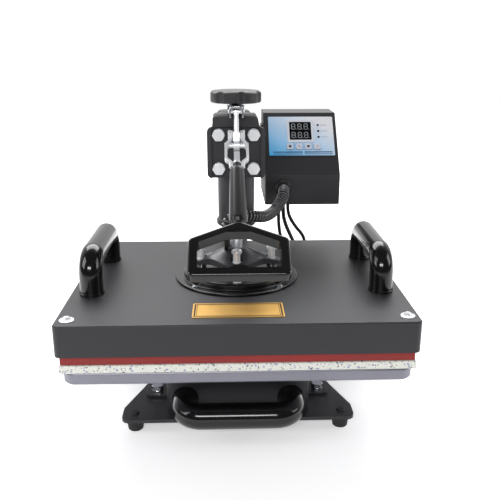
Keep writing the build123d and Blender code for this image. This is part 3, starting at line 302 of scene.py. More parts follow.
# %% The spiral hose
HOSE_RADIUS = 0.0072
HOSE_PITCH = 0.0044
HOSE_SIDES = 28
RIB_DEPTH = 0.0025
RIB_OUTLINE = ((0, 0), (0.08, 0.5), (0.18, 0.86), (0.3, 1), (0.42, 0.86), (0.52, 0.5), (0.62, 0))


def hose_rings(length):
    collar = HOSE_RADIUS
    groove = HOSE_RADIUS - RIB_DEPTH
    rings = [(0, groove)]
    for rib in range(int((length - 2 * collar) / HOSE_PITCH)):
        start = collar + rib * HOSE_PITCH
        for share, rise in RIB_OUTLINE:
            rings.append((start + share * HOSE_PITCH, groove + RIB_DEPTH * rise))
    rings.append((length, groove))
    return rings


hose_places = smooth_line("hose_line", [at(*p) for p in (
    (64, 70, 262), (64, 54, 262), (58.5, 37, 252), (47, 16, 243), (35, -8, 243), (22, -25, 248),
    (5, -34.5, 252), (-9, -36, 248), (-12, -35, 236), (-12, -34, 227))])
spiral_wrap = tube_mesh("spiral_wrap", hose_places, hose_rings(line_length(hose_places)), HOSE_SIDES)
print("spiral hose", round(line_length(hose_places), 3), "m")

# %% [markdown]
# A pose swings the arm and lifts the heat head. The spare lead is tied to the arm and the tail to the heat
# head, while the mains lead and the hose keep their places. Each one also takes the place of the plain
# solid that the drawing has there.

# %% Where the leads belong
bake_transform(mains_lead)
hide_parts("mains_cord", "mains_coil")
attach(spare_lead, "arm")
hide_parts("accessory_lead")
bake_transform(spiral_wrap)
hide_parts("spiral_hose")
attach(tail_lead, "press")
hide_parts("spiral_hose")

# %% [markdown]
# Paint, plastic and metal differ less in colour than in how evenly they shine. A few effects are
# therefore shared: a fine grain for paint and cast plastic, a brushed grain for worked metal and a
# cloudy mask for dust and finger marks. Each is a node group that is built once and then placed in
# every finish with its own numbers.

# %% Helpers for nodes
def feed(tree, made, inputs):
    """Join or set a node's inputs. inputs holds (input, socket or number) pairs."""
    for name, source in inputs:
        if hasattr(source, "is_output"):
            tree.links.new(source, made.inputs[name])
        else:
            made.inputs[name].default_value = source


def node(tree, kind, inputs=(), **values):
    """Add a node, set its values and feed its inputs."""
    made = tree.nodes.new(kind)
    for key, value in values.items():
        setattr(made, key, value)
    feed(tree, made, inputs)
    return made


def calc(tree, operation, *values):
    """The result of one sum on sockets or numbers."""
    return node(tree, "ShaderNodeMath", enumerate(values), operation=operation).outputs[0]


def ranged(tree, value, low, high, to_low=0.0, to_high=1.0):
    """A value carried over from one range to another."""
    return node(tree, "ShaderNodeMapRange", [
        ("Value", value), ("From Min", low), ("From Max", high),
        ("To Min", to_low), ("To Max", to_high)]).outputs[0]


def mixed(tree, mask, first, second):
    """The first colour where the mask is nought and the second where it is one."""
    return node(tree, "ShaderNodeMix", [(0, mask), (6, first), (7, second)], data_type="RGBA").outputs[2]


def mixed_value(tree, mask, first, second):
    """The same for two numbers."""
    return node(tree, "ShaderNodeMix", [(0, mask), (2, first), (3, second)], data_type="FLOAT").outputs[0]


def noise(tree, place, scale, detail, roughness=0.5):
    return node(tree, "ShaderNodeTexNoise", [
        ("Vector", place), ("Scale", scale), ("Detail", detail), ("Roughness", roughness)]).outputs["Fac"]


def object_place(tree):
    """Where a point lies on the machine, in metres."""
    return node(tree, "ShaderNodeTexCoord").outputs["Object"]


def measured_along(tree, origin, heading):
    """How far a point lies from a place, counted along one direction, in metres."""
    away = node(tree, "ShaderNodeVectorMath", [(0, object_place(tree)), (1, origin)], operation="SUBTRACT")
    share = node(tree, "ShaderNodeVectorMath", [(0, away.outputs[0]), (1, heading)], operation="DOT_PRODUCT")
    return share.outputs["Value"]


def new_group(name, inputs, outputs):
    """An empty node group with its sockets, its entry and its end."""
    group = bpy.data.node_groups.new(name, "ShaderNodeTree")
    kinds = {"value": "NodeSocketFloat", "colour": "NodeSocketColor", "vector": "NodeSocketVector"}
    for title, kind, start in inputs:
        socket = group.interface.new_socket(name=title, in_out="INPUT", socket_type=kinds[kind])
        socket.default_value = start
    for title, kind in outputs:
        group.interface.new_socket(name=title, in_out="OUTPUT", socket_type=kinds[kind])
    return group, group.nodes.new("NodeGroupInput"), group.nodes.new("NodeGroupOutput")


# %% Grain for paint, grain for metal and a pair of tones
def build_grain():
    group, entry, leave = new_group(
        "fine_grain", [("Scale", "value", 900), ("Cloud Scale", "value", 14)],
        [("Height", "value"), ("Cloud", "value")])
    place = object_place(group)
    fine = noise(group, place, entry.outputs["Scale"], 2.0, 0.55)
    broad = noise(group, place, entry.outputs["Cloud Scale"], 4.0, 0.6)
    feed(group, leave, [("Height", fine), ("Cloud", ranged(group, broad, 0.3, 0.7))])
    return group


def build_brushed():
    group, entry, leave = new_group(
        "brushed_grain", [("Stretch", "vector", (20, 900, 900)), ("Cloud Scale", "value", 20)],
        [("Lines", "value"), ("Cloud", "value")])
    place = object_place(group)
    pulled = node(group, "ShaderNodeVectorMath", [(0, place), (1, entry.outputs["Stretch"])],
                  operation="MULTIPLY")
    feed(group, leave, [("Lines", noise(group, pulled.outputs[0], 1.0, 3.0)),
                        ("Cloud", noise(group, place, entry.outputs["Cloud Scale"], 3.0))])
    return group


def build_shade():
    """Two colours and two roughnesses, mixed by a mask."""
    group, entry, leave = new_group(
        "two_tone", [("Mask", "value", 0.5), ("Dark", "colour", (0, 0, 0, 1)),
                     ("Light", "colour", (1, 1, 1, 1)), ("Low", "value", 0.3), ("High", "value", 0.5)],
        [("Colour", "colour"), ("Roughness", "value")])
    mask, dark, light, low, high = entry.outputs[:5]
    feed(group, leave, [("Colour", mixed(group, mask, dark, light)),
                        ("Roughness", ranged(group, mask, 0.0, 1.0, low, high))])
    return group


fine_grain = build_grain()
brushed_grain = build_brushed()
two_tone = build_shade()
print("groups", fine_grain.name, brushed_grain.name, two_tone.name)


# %% The start of a finish
def start_finish(name):
    material = bpy.data.materials.new(name)
    material.use_nodes = True
    tree = material.node_tree
    return material, tree, tree.nodes["Principled BSDF"]


def place_group(tree, group, inputs):
    made = tree.nodes.new("ShaderNodeGroup")
    made.node_tree = group
    feed(tree, made, inputs)
    return made


def colour(r, g, b):
    """A colour as read from a picture, 0 to 255, made linear."""
    def line(c):
        c /= 255
        return c / 12.92 if c <= 0.04045 else ((c + 0.055) / 1.055) ** 2.4
    return line(r), line(g), line(b), 1


def toned(tree, shader, mask, dark, light, low, high):
    """Give the shader two colours and two roughnesses that a mask mixes."""
    tone = place_group(tree, two_tone, [("Mask", mask), ("Dark", colour(*dark)), ("Light", colour(*light)),
                                        ("Low", low), ("High", high)])
    feed(tree, shader, [("Base Color", tone.outputs["Colour"]), ("Roughness", tone.outputs["Roughness"])])
    return tone


def bump(tree, shader, height, strength, distance):
    made = node(tree, "ShaderNodeBump", [("Height", height), ("Strength", strength), ("Distance", distance)])
    feed(tree, shader, [("Normal", made.outputs["Normal"])])


def grain_bump(tree, shader, scale, cloud, strength, distance):
    """Lift the surface by the fine grain, and hand the grain on."""
    grain = place_group(tree, fine_grain, [("Scale", scale), ("Cloud Scale", cloud)])
    bump(tree, shader, grain.outputs["Height"], strength, distance)
    return grain


# %% Paint and metal
PAINT_LIFT = 0.0003
PAINT_CLOUD = 14
METAL_LIFT = 0.0001
METAL_CLOUD = 25


def coated(name, dark, light, low, high, scale=900, strength=0.25, specular=0.5, coat=0.0,
           coat_roughness=0.1):
    """Paint or moulded plastic: two close tones, a fine grain and an uneven shine."""
    material, tree, shader = start_finish(name)
    grain = grain_bump(tree, shader, scale, PAINT_CLOUD, strength, PAINT_LIFT)
    toned(tree, shader, grain.outputs["Cloud"], dark, light, low, high)
    feed(tree, shader, [("Specular IOR Level", specular), ("Coat Weight", coat),
                        ("Coat Roughness", coat_roughness)])
    return material


def metal(name, dark, light, low, high, stretch=(20, 900, 900), strength=0.12, metallic=1):
    """Worked metal: a stretched grain in its shine and its surface."""
    material, tree, shader = start_finish(name)
    grain = place_group(tree, brushed_grain, [("Stretch", stretch), ("Cloud Scale", METAL_CLOUD)])
    toned(tree, shader, grain.outputs["Cloud"], dark, light, low, high)
    feed(tree, shader, [("Metallic", metallic)])
    bump(tree, shader, grain.outputs["Lines"], strength, METAL_LIFT)
    return material


# %% [markdown]
# Almost all of the steel is powder coated in black. Powder flows out to a faint orange-peel skin:
# it is dark where it faces you and turns pale where it is seen at a low angle, so the top of the
# heat head looks grey although its front looks black.

# %% Paints and plastics
coated("black_paint", (5, 5, 7), (11, 11, 13), 0.3, 0.38, scale=1100, strength=0.2, specular=0.3)
coated("smooth_paint", (12, 12, 14), (18, 18, 20), 0.2, 0.3, scale=500, strength=0.08)
coated("cast_paint", (48, 48, 52), (68, 68, 72), 0.26, 0.36, scale=700, strength=0.3)
coated("gloss_black", (10, 10, 11), (15, 15, 16), 0.1, 0.18, scale=260, strength=0.05,
       specular=0.4, coat=0.2, coat_roughness=0.06)
coated("knob_black", (26, 26, 29), (38, 38, 41), 0.34, 0.46, scale=800, strength=0.3)
coated("rubber_black", (16, 16, 17), (30, 30, 31), 0.6, 0.75, scale=1500, strength=0.4)
coated("cord_black", (14, 14, 15), (22, 22, 23), 0.38, 0.5, scale=1200, strength=0.12)
coated("mica_board", (176, 160, 128), (206, 194, 166), 0.7, 0.9, scale=400, strength=0.6)
coated("circuit_green", (20, 74, 44), (30, 92, 56), 0.3, 0.45, scale=600, strength=0.1)
coated("silicone_red", (134, 30, 26), (156, 40, 34), 0.45, 0.6, scale=700, strength=0.3)
coated("lamp_lens", (24, 30, 62), (34, 42, 80), 0.12, 0.2, scale=500, strength=0.04)
coated("segment_pale", (120, 124, 128), (142, 146, 150), 0.4, 0.5, strength=0.05)
print("paints ready:", len(bpy.data.materials))

# %% [markdown]
# The hose is black plastic. Its ribs are painted pale grey and glossy as a painted highlight, and its
# grooves are near black and dull as painted shade. The tube carries a value that is nought in a groove and
# one on a crest, and this finish mixes its two looks by that value.

# %% The hose's finish, with painted highlight and painted shade
def build_hose():
    material, tree, shader = start_finish("hose_painted_highlight")
    crest = node(tree, "ShaderNodeAttribute", attribute_name="crest")
    painted_rib_highlight = ranged(tree, crest.outputs["Fac"], 0.35, 0.95)
    # Painted highlight: pale grey on the crests. Painted shade: near black in the grooves.
    toned(tree, shader, painted_rib_highlight, (4, 4, 5), (84, 84, 88), 0.7, 0.16)
    feed(tree, shader, [("Coat Weight", painted_rib_highlight), ("Coat Roughness", 0.1)])
    return material


# %% [markdown]
# Bare metal takes its look from what it mirrors, so its colour is pale and its roughness decides.
# Milled aluminium scatters most, zinc plating less and chrome hardly at all. The brightest plated
# pieces are only partly metallic here, because a milky share of their light comes back all ways.

# %% Metals
metal("milled_aluminium", (122, 122, 131), (142, 142, 152), 0.34, 0.46)
metal("bright_zinc", (196, 198, 202), (228, 230, 234), 0.14, 0.26, stretch=(300, 300, 40))
metal("chrome", (206, 208, 212), (224, 226, 230), 0.06, 0.14, stretch=(200, 200, 200), strength=0.03)
metal("bronze", (150, 112, 62), (176, 138, 82), 0.3, 0.42)
metal("element_steel", (84, 76, 70), (120, 108, 98), 0.4, 0.6)
metal("bright_plate", (224, 226, 230), (250, 251, 253), 0.14, 0.26, stretch=(400, 400, 120),
      strength=0.05, metallic=0.35)
print("metals ready:", len(bpy.data.materials))

# %% [markdown]
# Two turned pieces are bright at one end and black at the other. The press rod is ground steel below
# and wears a black neck on top, and the lever is a chrome bar that ends in a black tube. One finish
# can do both: it measures how far a point lies along the piece and changes there from metal to paint.

# %% Bright steel that turns into black paint
LEVER_TILT = radians(35)
LEVER_PIVOT = at(0, -42, 346)
LEVER_HEADING = Vector((0, -cos(LEVER_TILT), -sin(LEVER_TILT)))
LEVER_DEPTH_WAY = Vector((0, -sin(LEVER_TILT), cos(LEVER_TILT)))
NECK_START = 0.357
TUBE_START = 0.046
PAINT_EDGE = 0.0003
BRIGHT_METALLIC = 0.6
BRIGHT_ROUGHNESS = 0.12


def part_painted(name, origin, heading, start, shine):
    """Bright metal before start metres along the heading and satin black paint after it."""
    material, tree, shader = start_finish(name)
    paint = ranged(tree, measured_along(tree, origin, heading), start - PAINT_EDGE, start + PAINT_EDGE)
    bare = calc(tree, "SUBTRACT", 1.0, paint)
    feed(tree, shader, [
        ("Base Color", mixed(tree, paint, colour(232, 234, 238), colour(12, 12, 14))),
        ("Roughness", mixed_value(tree, paint, BRIGHT_ROUGHNESS, shine)),
        ("Metallic", calc(tree, "MULTIPLY", bare, BRIGHT_METALLIC))])
    grain_bump(tree, shader, 600, 30, 0.06, 0.0001)
    return material


part_painted("rod_steel", at(0, 0, 0), Vector((0, 0, 1)), NECK_START, 0.4)
part_painted("lever_black", LEVER_PIVOT, LEVER_HEADING, TUBE_START, 0.3)
print("rod and lever ready")

# %% [markdown]
# The drawing brings each piece in as loose triangles, which show as flat facets on anything round.
# Where a piece shows, a copy of it is merged into one skin, its flat faces are cleaned, its sharp
# edges get the small radius that bending, casting or paint leaves, and it is shaded smooth. The
# radius matters more than the smoothing: it is what draws the thin bright line along a real edge.

# %% A finished copy of a drawn piece
MERGE_WITHIN = 2e-6
FLAT_WITHIN = radians(0.4)
ROUND_PAST = radians(40)
SMOOTH_WITHIN = radians(38)

shown = dict(nodes)


def deselect_all():
    bpy.ops.object.select_all(action="DESELECT")


def select_only(piece):
    deselect_all()
    piece.select_set(True)
    bpy.context.view_layer.objects.active = piece


def finished(member, edge):
    """Copy a drawn piece, merge it, round its sharp edges by edge millimetres and smooth it."""
    drawn = nodes[member]
    piece = link_new(member + "_finished", drawn.data.copy())
    select_only(piece)
    bpy.ops.mesh.customdata_custom_splitnormals_clear()
    bpy.ops.object.mode_set(mode="EDIT")
    bpy.ops.mesh.select_all(action="SELECT")
    bpy.ops.mesh.remove_doubles(threshold=MERGE_WITHIN)
    bpy.ops.mesh.dissolve_limited(angle_limit=FLAT_WITHIN)
    bpy.ops.object.mode_set(mode="OBJECT")
    if edge:
        rounding = piece.modifiers.new("rounding", "BEVEL")
        rounding.width = edge / MM_PER_METRE
        rounding.segments = 2
        rounding.limit_method = "ANGLE"
        rounding.angle_limit = ROUND_PAST
        rounding.use_clamp_overlap = False
        bpy.ops.object.modifier_apply(modifier=rounding.name)
    bpy.ops.object.shade_smooth_by_angle(angle=SMOOTH_WITHIN)
    level = piece.modifiers.new("level", "WEIGHTED_NORMAL")
    level.keep_sharp = True
    level.weight = 100
    bpy.ops.object.modifier_apply(modifier=level.name)
    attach(piece, drawn["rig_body"])
    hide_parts(member)
    shown[member] = piece


for member, edge in (
        ("platen_cover", 0.7), ("pedestal", 0.6), ("base_plate", 0.5), ("box_shell", 0.7),
        ("box_back", 0.5), ("front_clamp_plate", 0), ("head_block", 0.6), ("cap_block", 0.8),
        ("arm_beam", 0.6), ("press_sleeve", 0.4), ("swing_sleeve", 0.4), ("column_post", 0.4),
        ("mounting_disc", 0.5), ("lower_platen", 0.6), ("spider_plate", 0.5), ("lever_tube", 0.3),
        ("lever_grip", 0), ("left_handle", 0), ("right_handle", 0), ("front_handle", 0),
        ("pressure_knob", 0.6), ("press_rod", 0.3), ("yoke", 0.3), ("lever_straps", 0.3),
        ("lever_pins", 0.2), ("link_rod", 0), ("spider_bolts", 0), ("clamp_bolts", 0),
        ("base_bolts", 0), ("cover_screws", 0), ("handle_screws", 0), ("front_handle_screws", 0),
        ("disc_screws", 0), ("spring_washers", 0), ("rubber_feet", 0.5), ("hose_grommet", 0.3),
        ("cable_glands", 0.2), ("hose_gland", 0.3), ("display_module", 0.15),
        ("indicator_lights", 0.1), ("button_set", 0), ("button_down", 0), ("button_up", 0),
        ("button_start", 0), ("power_switch", 0.3)):
    finished(member, edge)
print("finished copies:", len([member for member in nodes if shown[member] is not nodes[member]]))

# %% [markdown]
# The two straps of the lever look slighter than their drawn solids. Past the bulb round the fulcrum
# each one is drawn in to half its depth, evenly from both sides.

# %% Slimmer straps
SLIM_START = 0.019
SLIM_SHARE = 0.5


def slimmed(member):
    mesh = shown[member].data
    for vert in mesh.vertices:
        away = vert.co - LEVER_PIVOT
        if away.dot(LEVER_HEADING) > SLIM_START:
            vert.co -= LEVER_DEPTH_WAY * away.dot(LEVER_DEPTH_WAY) * (1 - SLIM_SHARE)
    mesh.update()


slimmed("lever_straps")
print("straps slimmed:", len(shown["lever_straps"].data.vertices), "points")

# %% [markdown]
# Each finish now goes to its pieces. A list from finish to pieces reads like a maker's parts list,
# and one loop works through it.

# %% Put the finishes on the machine
finish_of = {
    "black_paint": ["base_plate", "pedestal", "column_post", "platen_cover", "press_sleeve", "head_block",
                    "arm_beam", "swing_sleeve", "box_shell", "box_back", "front_clamp_plate", "cap_block"],
    "smooth_paint": ["mounting_disc"],
    "lever_black": ["lever_tube"],
    "cast_paint": ["spider_plate"],
    "gloss_black": ["front_handle", "left_handle", "right_handle", "lever_grip"],
    "knob_black": ["pressure_knob", "power_switch"],
    "rubber_black": ["rubber_feet"],
    "cord_black": ["mains_plug", "cable_glands", "hose_grommet", "hose_gland"],
    "milled_aluminium": ["lower_platen", "heat_platen"],
    "bright_zinc": ["base_bolts", "front_handle_screws", "handle_screws", "disc_screws", "spring_washers"],
    "bright_plate": ["clamp_bolts", "cover_screws", "spider_bolts", "lever_straps", "lever_pins",
                     "link_rod"],
    "chrome": ["yoke"],
    "rod_steel": ["press_rod"],
    "bronze": ["arm_bushes"],
    "element_steel": ["heating_element"],
    "mica_board": ["insulation_board"],
    "circuit_green": ["circuit_board"],
}


def dress(piece, name):
    """Give a piece the finish of that name, on every face."""
    material = bpy.data.materials[name]
    if not piece.material_slots:
        piece.data.materials.append(material)
    for place in piece.material_slots:
        place.material = material


for name, members in finish_of.items():
    for member in members:
        dress(shown[member], name)
for lead in (mains_lead, spare_lead, tail_lead):
    dress(lead, "cord_black")
dress(spiral_wrap, build_hose().name)
print("dressed", sum(len(m) for m in finish_of.values()), "pieces")

# %% [markdown]
# A single bright screw head lies on the front of the stepped disc. It is a shallow dome with a round
# recess: a low cylinder whose top edge is bevelled far in, and whose middle is pushed down.

# %% The screw on the disc
SCREW_PLACE = at(0, -55, 176.3)
SCREW_RADIUS = 0.0052
SCREW_HEIGHT = 0.0022
SCREW_DOME = 0.0014
SCREW_RIM = 0.0016
SCREW_SLOT = 0.0007

deselect_all()
bpy.ops.mesh.primitive_cylinder_add(
    vertices=40, radius=SCREW_RADIUS, depth=SCREW_HEIGHT,
    location=SCREW_PLACE + Vector((0, 0, SCREW_HEIGHT / 2)))
disc_screw = bpy.context.active_object
disc_screw.name = "disc_front_screw"
bpy.ops.object.transform_apply(location=True, rotation=True, scale=True)
bpy.ops.object.mode_set(mode="EDIT")
bpy.ops.mesh.select_all(action="DESELECT")
shape = bmesh.from_edit_mesh(disc_screw.data)
for face in shape.faces:
    face.select_set(face.normal.z > 0.9)
bmesh.update_edit_mesh(disc_screw.data)
bpy.ops.mesh.bevel(offset=SCREW_DOME, segments=5, affect="EDGES")
bpy.ops.mesh.inset(thickness=SCREW_RIM)
bpy.ops.mesh.extrude_region_move(TRANSFORM_OT_translate={"value": (0, 0, -SCREW_SLOT)})
bpy.ops.object.mode_set(mode="OBJECT")
bpy.ops.object.shade_smooth_by_angle(angle=SMOOTH_WITHIN)
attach(disc_screw, "press")
dress(disc_screw, "bright_plate")
print("screw faces", len(disc_screw.data.polygons))

# %% [markdown]
# The lower platen carries two pads. The lower one is open foam pressed from scraps, pale with dark
# and bluish flecks. The upper one is a red silicone sheet. Each starts as a block the size of its
# drawn solid, has its four upright corners bevelled round and then its top and bottom rims softened.

# %% A pad with soft edges
def bevel_edges(piece, wanted, offset, segments):
    """In edit mode, round the edges that the test picks."""
    shape = bmesh.from_edit_mesh(piece.data)
    for edge in shape.edges:
        edge.select = wanted(edge)
    bmesh.update_edit_mesh(piece.data)
    bpy.ops.mesh.bevel(offset=offset, segments=segments, affect="EDGES")


def upright(edge):
    a, b = edge.verts
    return abs(a.co.z - b.co.z) > 1e-5


def on_rim(edge):
    """True where an upright wall meets the top or the bottom."""
    a, b = edge.verts
    level = abs(a.co.z - b.co.z) < 1e-6
    walls = [face.normal.z for face in edge.link_faces]
    return level and len(walls) == 2 and abs(walls[0] - walls[1]) > 0.5


def rounded_block(name, low, high, corner, rim):
    """A block with upright corners of one radius and rims of a smaller one."""
    deselect_all()
    bpy.ops.mesh.primitive_cube_add(size=1, location=(low + high) / 2)
    piece = bpy.context.active_object
    piece.name = name
    piece.scale = high - low
    bpy.ops.object.transform_apply(location=True, rotation=True, scale=True)
    bpy.ops.object.mode_set(mode="EDIT")
    bpy.ops.mesh.select_all(action="DESELECT")
    bevel_edges(piece, upright, corner, 8)
    bevel_edges(piece, on_rim, rim, 3)
    bpy.ops.object.mode_set(mode="OBJECT")
    select_only(piece)
    bpy.ops.object.shade_smooth_by_angle(angle=radians(35))
    return piece


def lay_pad(name, cad, corner, rim):
    """A pad in the place of its drawn solid, resting on the stand."""
    piece = rounded_block(name, *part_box(cad), corner, rim)
    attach(piece, "base")
    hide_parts(cad)
    return piece


foam = lay_pad("speckled_foam", "foam_pad", 0.014, 0.0012)
red = lay_pad("red_silicone", "silicone_pad", 0.013, 0.0015)
print("pads", [round(v, 4) for v in foam.dimensions], [round(v, 4) for v in red.dimensions])

# %% [markdown]
# Pressed foam shows its scraps as cells, so a cell pattern makes the flecks: the few cells whose
# random colour lies near the top of its range are inked, and the rest stay pale. A second pattern
# of another size adds bluish ones, so that the two do not line up.

# %% Foam and silicone
def cell_pattern(tree, scale):
    return node(tree, "ShaderNodeTexVoronoi", [("Vector", object_place(tree)), ("Scale", scale)])


def flecks(tree, cells, channel, low, high):
    """One in the few cells whose random value is high, and nought in the others."""
    parts = node(tree, "ShaderNodeSeparateColor", [("Color", cells.outputs["Color"])])
    return ranged(tree, parts.outputs[channel], low, high)


def build_foam():
    material, tree, shader = start_finish("foam_scraps")
    small = cell_pattern(tree, 760.0)
    large = cell_pattern(tree, 520.0)
    pale = mixed(tree, flecks(tree, large, 1, 0.93, 0.96), colour(240, 241, 232), colour(176, 178, 206))
    fleck = mixed(tree, flecks(tree, small, 0, 0.93, 0.95), pale, colour(112, 114, 126))
    feed(tree, shader, [("Base Color", fleck), ("Roughness", 0.85)])
    bump(tree, shader, small.outputs["Distance"], 0.6, 0.0008)
    return material


dress(foam, build_foam().name)
dress(red, "silicone_red")
print("pads dressed")

# %% [markdown]
# A bare brass plate with an engraved border lies on the front of the heat head. Two grooves follow
# its edge. They are found from how near a point is to the plate's edge, which needs only its place
# on the plate.

# %% Brass plate
def groove(tree, edge, distance, width):
    """One in a groove that lies at a distance from the plate's edge, and nought beside it."""
    off = calc(tree, "ABSOLUTE", calc(tree, "SUBTRACT", edge, distance))
    return ranged(tree, off, width * 0.6, width, 1.0, 0.0)


def build_brass():
    material, tree, shader = start_finish("engraved_brass")
    low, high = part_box("brass_plate")
    half = (high - low) / 2
    centred = node(tree, "ShaderNodeMapping", [
        ("Vector", object_place(tree)), ("Location", -(low + high) / 2)])
    size = node(tree, "ShaderNodeVectorMath", [(0, centred.outputs[0])], operation="ABSOLUTE")
    parts = node(tree, "ShaderNodeSeparateXYZ", [(0, size.outputs[0])])
    from_side = calc(tree, "SUBTRACT", half.x, parts.outputs[0])
    from_end = calc(tree, "SUBTRACT", half.y, parts.outputs[1])
    edge = calc(tree, "MINIMUM", from_side, from_end)
    both = calc(tree, "MAXIMUM", groove(tree, edge, 0.0026, 0.0011), groove(tree, edge, 0.0048, 0.0004))
    grain = place_group(tree, brushed_grain, [("Stretch", (30, 1500, 1500)), ("Cloud Scale", 45)])
    tone = toned(tree, shader, grain.outputs["Cloud"], (190, 146, 72), (216, 176, 102), 0.34, 0.5)
    feed(tree, shader, [("Base Color", mixed(tree, both, tone.outputs["Colour"], colour(44, 32, 16))),
                        ("Metallic", 1)])
    bump(tree, shader, calc(tree, "SUBTRACT", grain.outputs["Lines"], both), 0.3, 0.0002)
    return material


dress(nodes["brass_plate"], build_brass().name)
print("brass plate dressed")

# %% [markdown]
# The control box has a sloping face. Its film fades from pale grey at the top to blue at the lower
# left, so the finish needs to know where a point lies on that slope: how far across, and how far
# up. Both are measured from the middle of the slope with a dot product.

# %% Places on the slope
SLOPE_MIDDLE = at(90, 108.5, 316)
SLOPE_ACROSS = Vector((1, 0, 0))
SLOPE_UP = Vector((0, 65, 76)).normalized()
SLOPE_OUT = Vector((0, -76, 65)).normalized()


def on_slope(u, v, out):
    """A place on the sloping face, in millimetres across, up and out from its middle."""
    return SLOPE_MIDDLE + (SLOPE_ACROSS * u + SLOPE_UP * v + SLOPE_OUT * out) / MM_PER_METRE


def out_of(name):
    """How far a drawn piece stands out from the slope, in millimetres."""
    return max((v.co - SLOPE_MIDDLE).dot(SLOPE_OUT) for v in nodes[name].data.vertices) * MM_PER_METRE


print("display stands out", round(out_of("display_module"), 2), "panel", round(out_of("control_panel"), 2))

# %% [markdown]
# The film's printed lines are thin bands on the slope: two pairs that part the keys from the display
# and three short marks beside the lights. A band is where the height lies close to a value and the
# place across lies between two others.

# %% Panel film
FILM_LINES = (
    (-14.4, 0.8, -38, 2), (-14.4, 0.8, 4, 42), (-17.4, 0.5, -38, 2), (-17.4, 0.5, 4, 42),
    (28.6, 0.25, 28, 37), (19, 0.25, 28, 37), (9.4, 0.25, 28, 37))


def film_line(tree, across, up, row):
    """One on a printed line, given in millimetres as its height, half its width and its two ends."""
    height, thick, start, end = [value / MM_PER_METRE for value in row]
    near = calc(tree, "COMPARE", up, height, thick)
    after = calc(tree, "GREATER_THAN", across, start)
    before = calc(tree, "LESS_THAN", across, end)
    return calc(tree, "MULTIPLY", near, calc(tree, "MULTIPLY", after, before))


def build_film():
    material, tree, shader = start_finish("panel_film")
    across = measured_along(tree, SLOPE_MIDDLE, SLOPE_ACROSS)
    up = measured_along(tree, SLOPE_MIDDLE, SLOPE_UP)
    fall = ranged(tree, up, -0.02, 0.042)
    side = ranged(tree, across, -0.045, 0.05)
    fade = calc(tree, "MULTIPLY", calc(tree, "ADD", fall, side), 0.62)
    shade = node(tree, "ShaderNodeValToRGB", [("Fac", fade)])
    shade.color_ramp.elements[0].color = colour(70, 188, 250)
    shade.color_ramp.elements[1].color = colour(222, 223, 228)
    middle = shade.color_ramp.elements.new(0.45)
    middle.color = colour(166, 206, 240)
    ink = 0.0
    for row in FILM_LINES:
        ink = calc(tree, "MAXIMUM", ink, film_line(tree, across, up, row))
    feed(tree, shader, [("Base Color", mixed(tree, ink, shade.outputs["Color"], colour(18, 44, 96))),
                        ("Roughness", 0.38)])
    grain_bump(tree, shader, 1500, 40, 0.08, 0.0001)
    return material


dress(nodes["control_panel"], build_film().name)
dress(shown["indicator_lights"], "lamp_lens")
print("film and lamps dressed")

# %% [markdown]
# The display sits in a pale frame, and its window is dark glass. The four keys are pale caps with a
# dark dot in the middle, larger on two of them. Frame, window, caps and dots are all found from how
# far a point lies from a middle on the slope, across and up.

# %% Display and keys
WINDOW_V = 18.7
WINDOW_HALF_WIDE = 0.0149
WINDOW_HALF_TALL = 0.0144
KEY_V = -6.5
KEY_FIRST_U = -15.2
KEY_PITCH = 12.4
LARGE_DOT = 0.0019
SMALL_DOT = 0.0009


def in_window(tree):
    """One inside the display's window and nought outside it."""
    middle = on_slope(0, WINDOW_V, 0)
    wide = calc(tree, "ABSOLUTE", measured_along(tree, middle, SLOPE_ACROSS))
    tall = calc(tree, "ABSOLUTE", measured_along(tree, middle, SLOPE_UP))
    narrow = calc(tree, "LESS_THAN", wide, WINDOW_HALF_WIDE)
    low = calc(tree, "LESS_THAN", tall, WINDOW_HALF_TALL)
    return calc(tree, "MULTIPLY", narrow, low)


def in_dot(tree, middle, radius):
    """One inside a round dot on the slope and nought outside it."""
    across = measured_along(tree, middle, SLOPE_ACROSS)
    up = measured_along(tree, middle, SLOPE_UP)
    both = calc(tree, "ADD", calc(tree, "MULTIPLY", across, across), calc(tree, "MULTIPLY", up, up))
    return calc(tree, "LESS_THAN", both, radius ** 2)


def two_part(name, mask_of, outer, inner, rough_inner, specular):
    """A pale moulding with a dark part that a mask picks out."""
    material, tree, shader = start_finish(name)
    mask = mask_of(tree)
    feed(tree, shader, [("Base Color", mixed(tree, mask, colour(*outer), colour(*inner))),
                        ("Roughness", mixed_value(tree, mask, 0.4, rough_inner)),
                        ("Specular IOR Level", specular)])
    grain_bump(tree, shader, 1300, 60, 0.08, 0.0001)
    return material


two_part("display_window", in_window, (206, 210, 218), (10, 11, 14), 0.2, 0.15)
dress(shown["display_module"], "display_window")
for index, word in enumerate(("set", "down", "up", "start")):
    key_middle = on_slope(KEY_FIRST_U + KEY_PITCH * index, KEY_V, 0)
    dot = LARGE_DOT if word in ("set", "up") else SMALL_DOT
    two_part("key_" + word, lambda tree: in_dot(tree, key_middle, dot),
             (198, 203, 216), (26, 30, 44), 0.45, 0.5)
    dress(shown["button_" + word], "key_" + word)
print("display and keys dressed")

# %% [markdown]
# The unlit display shows two rows of three figures, each made of seven bars and a point. A bar is a
# flat six-sided face that is given its corners on the slope and pushed out a little. All of them are
# joined into one thin piece on the window.

# %% Figures on the display
FIGURE_WIDE = 4.6
FIGURE_TALL = 8.6
FIGURE_PITCH = 8.6
FIGURE_SHIFT = -0.8
ROW_HALF_PITCH = 6.8
BAR_WIDE = 1.0
BAR_THICK = 0.15
BAR_GAP = 0.4
POINT_SIZE = 1.1
POINT_SHIFT = 1.7
SUNK_IN = 0.02


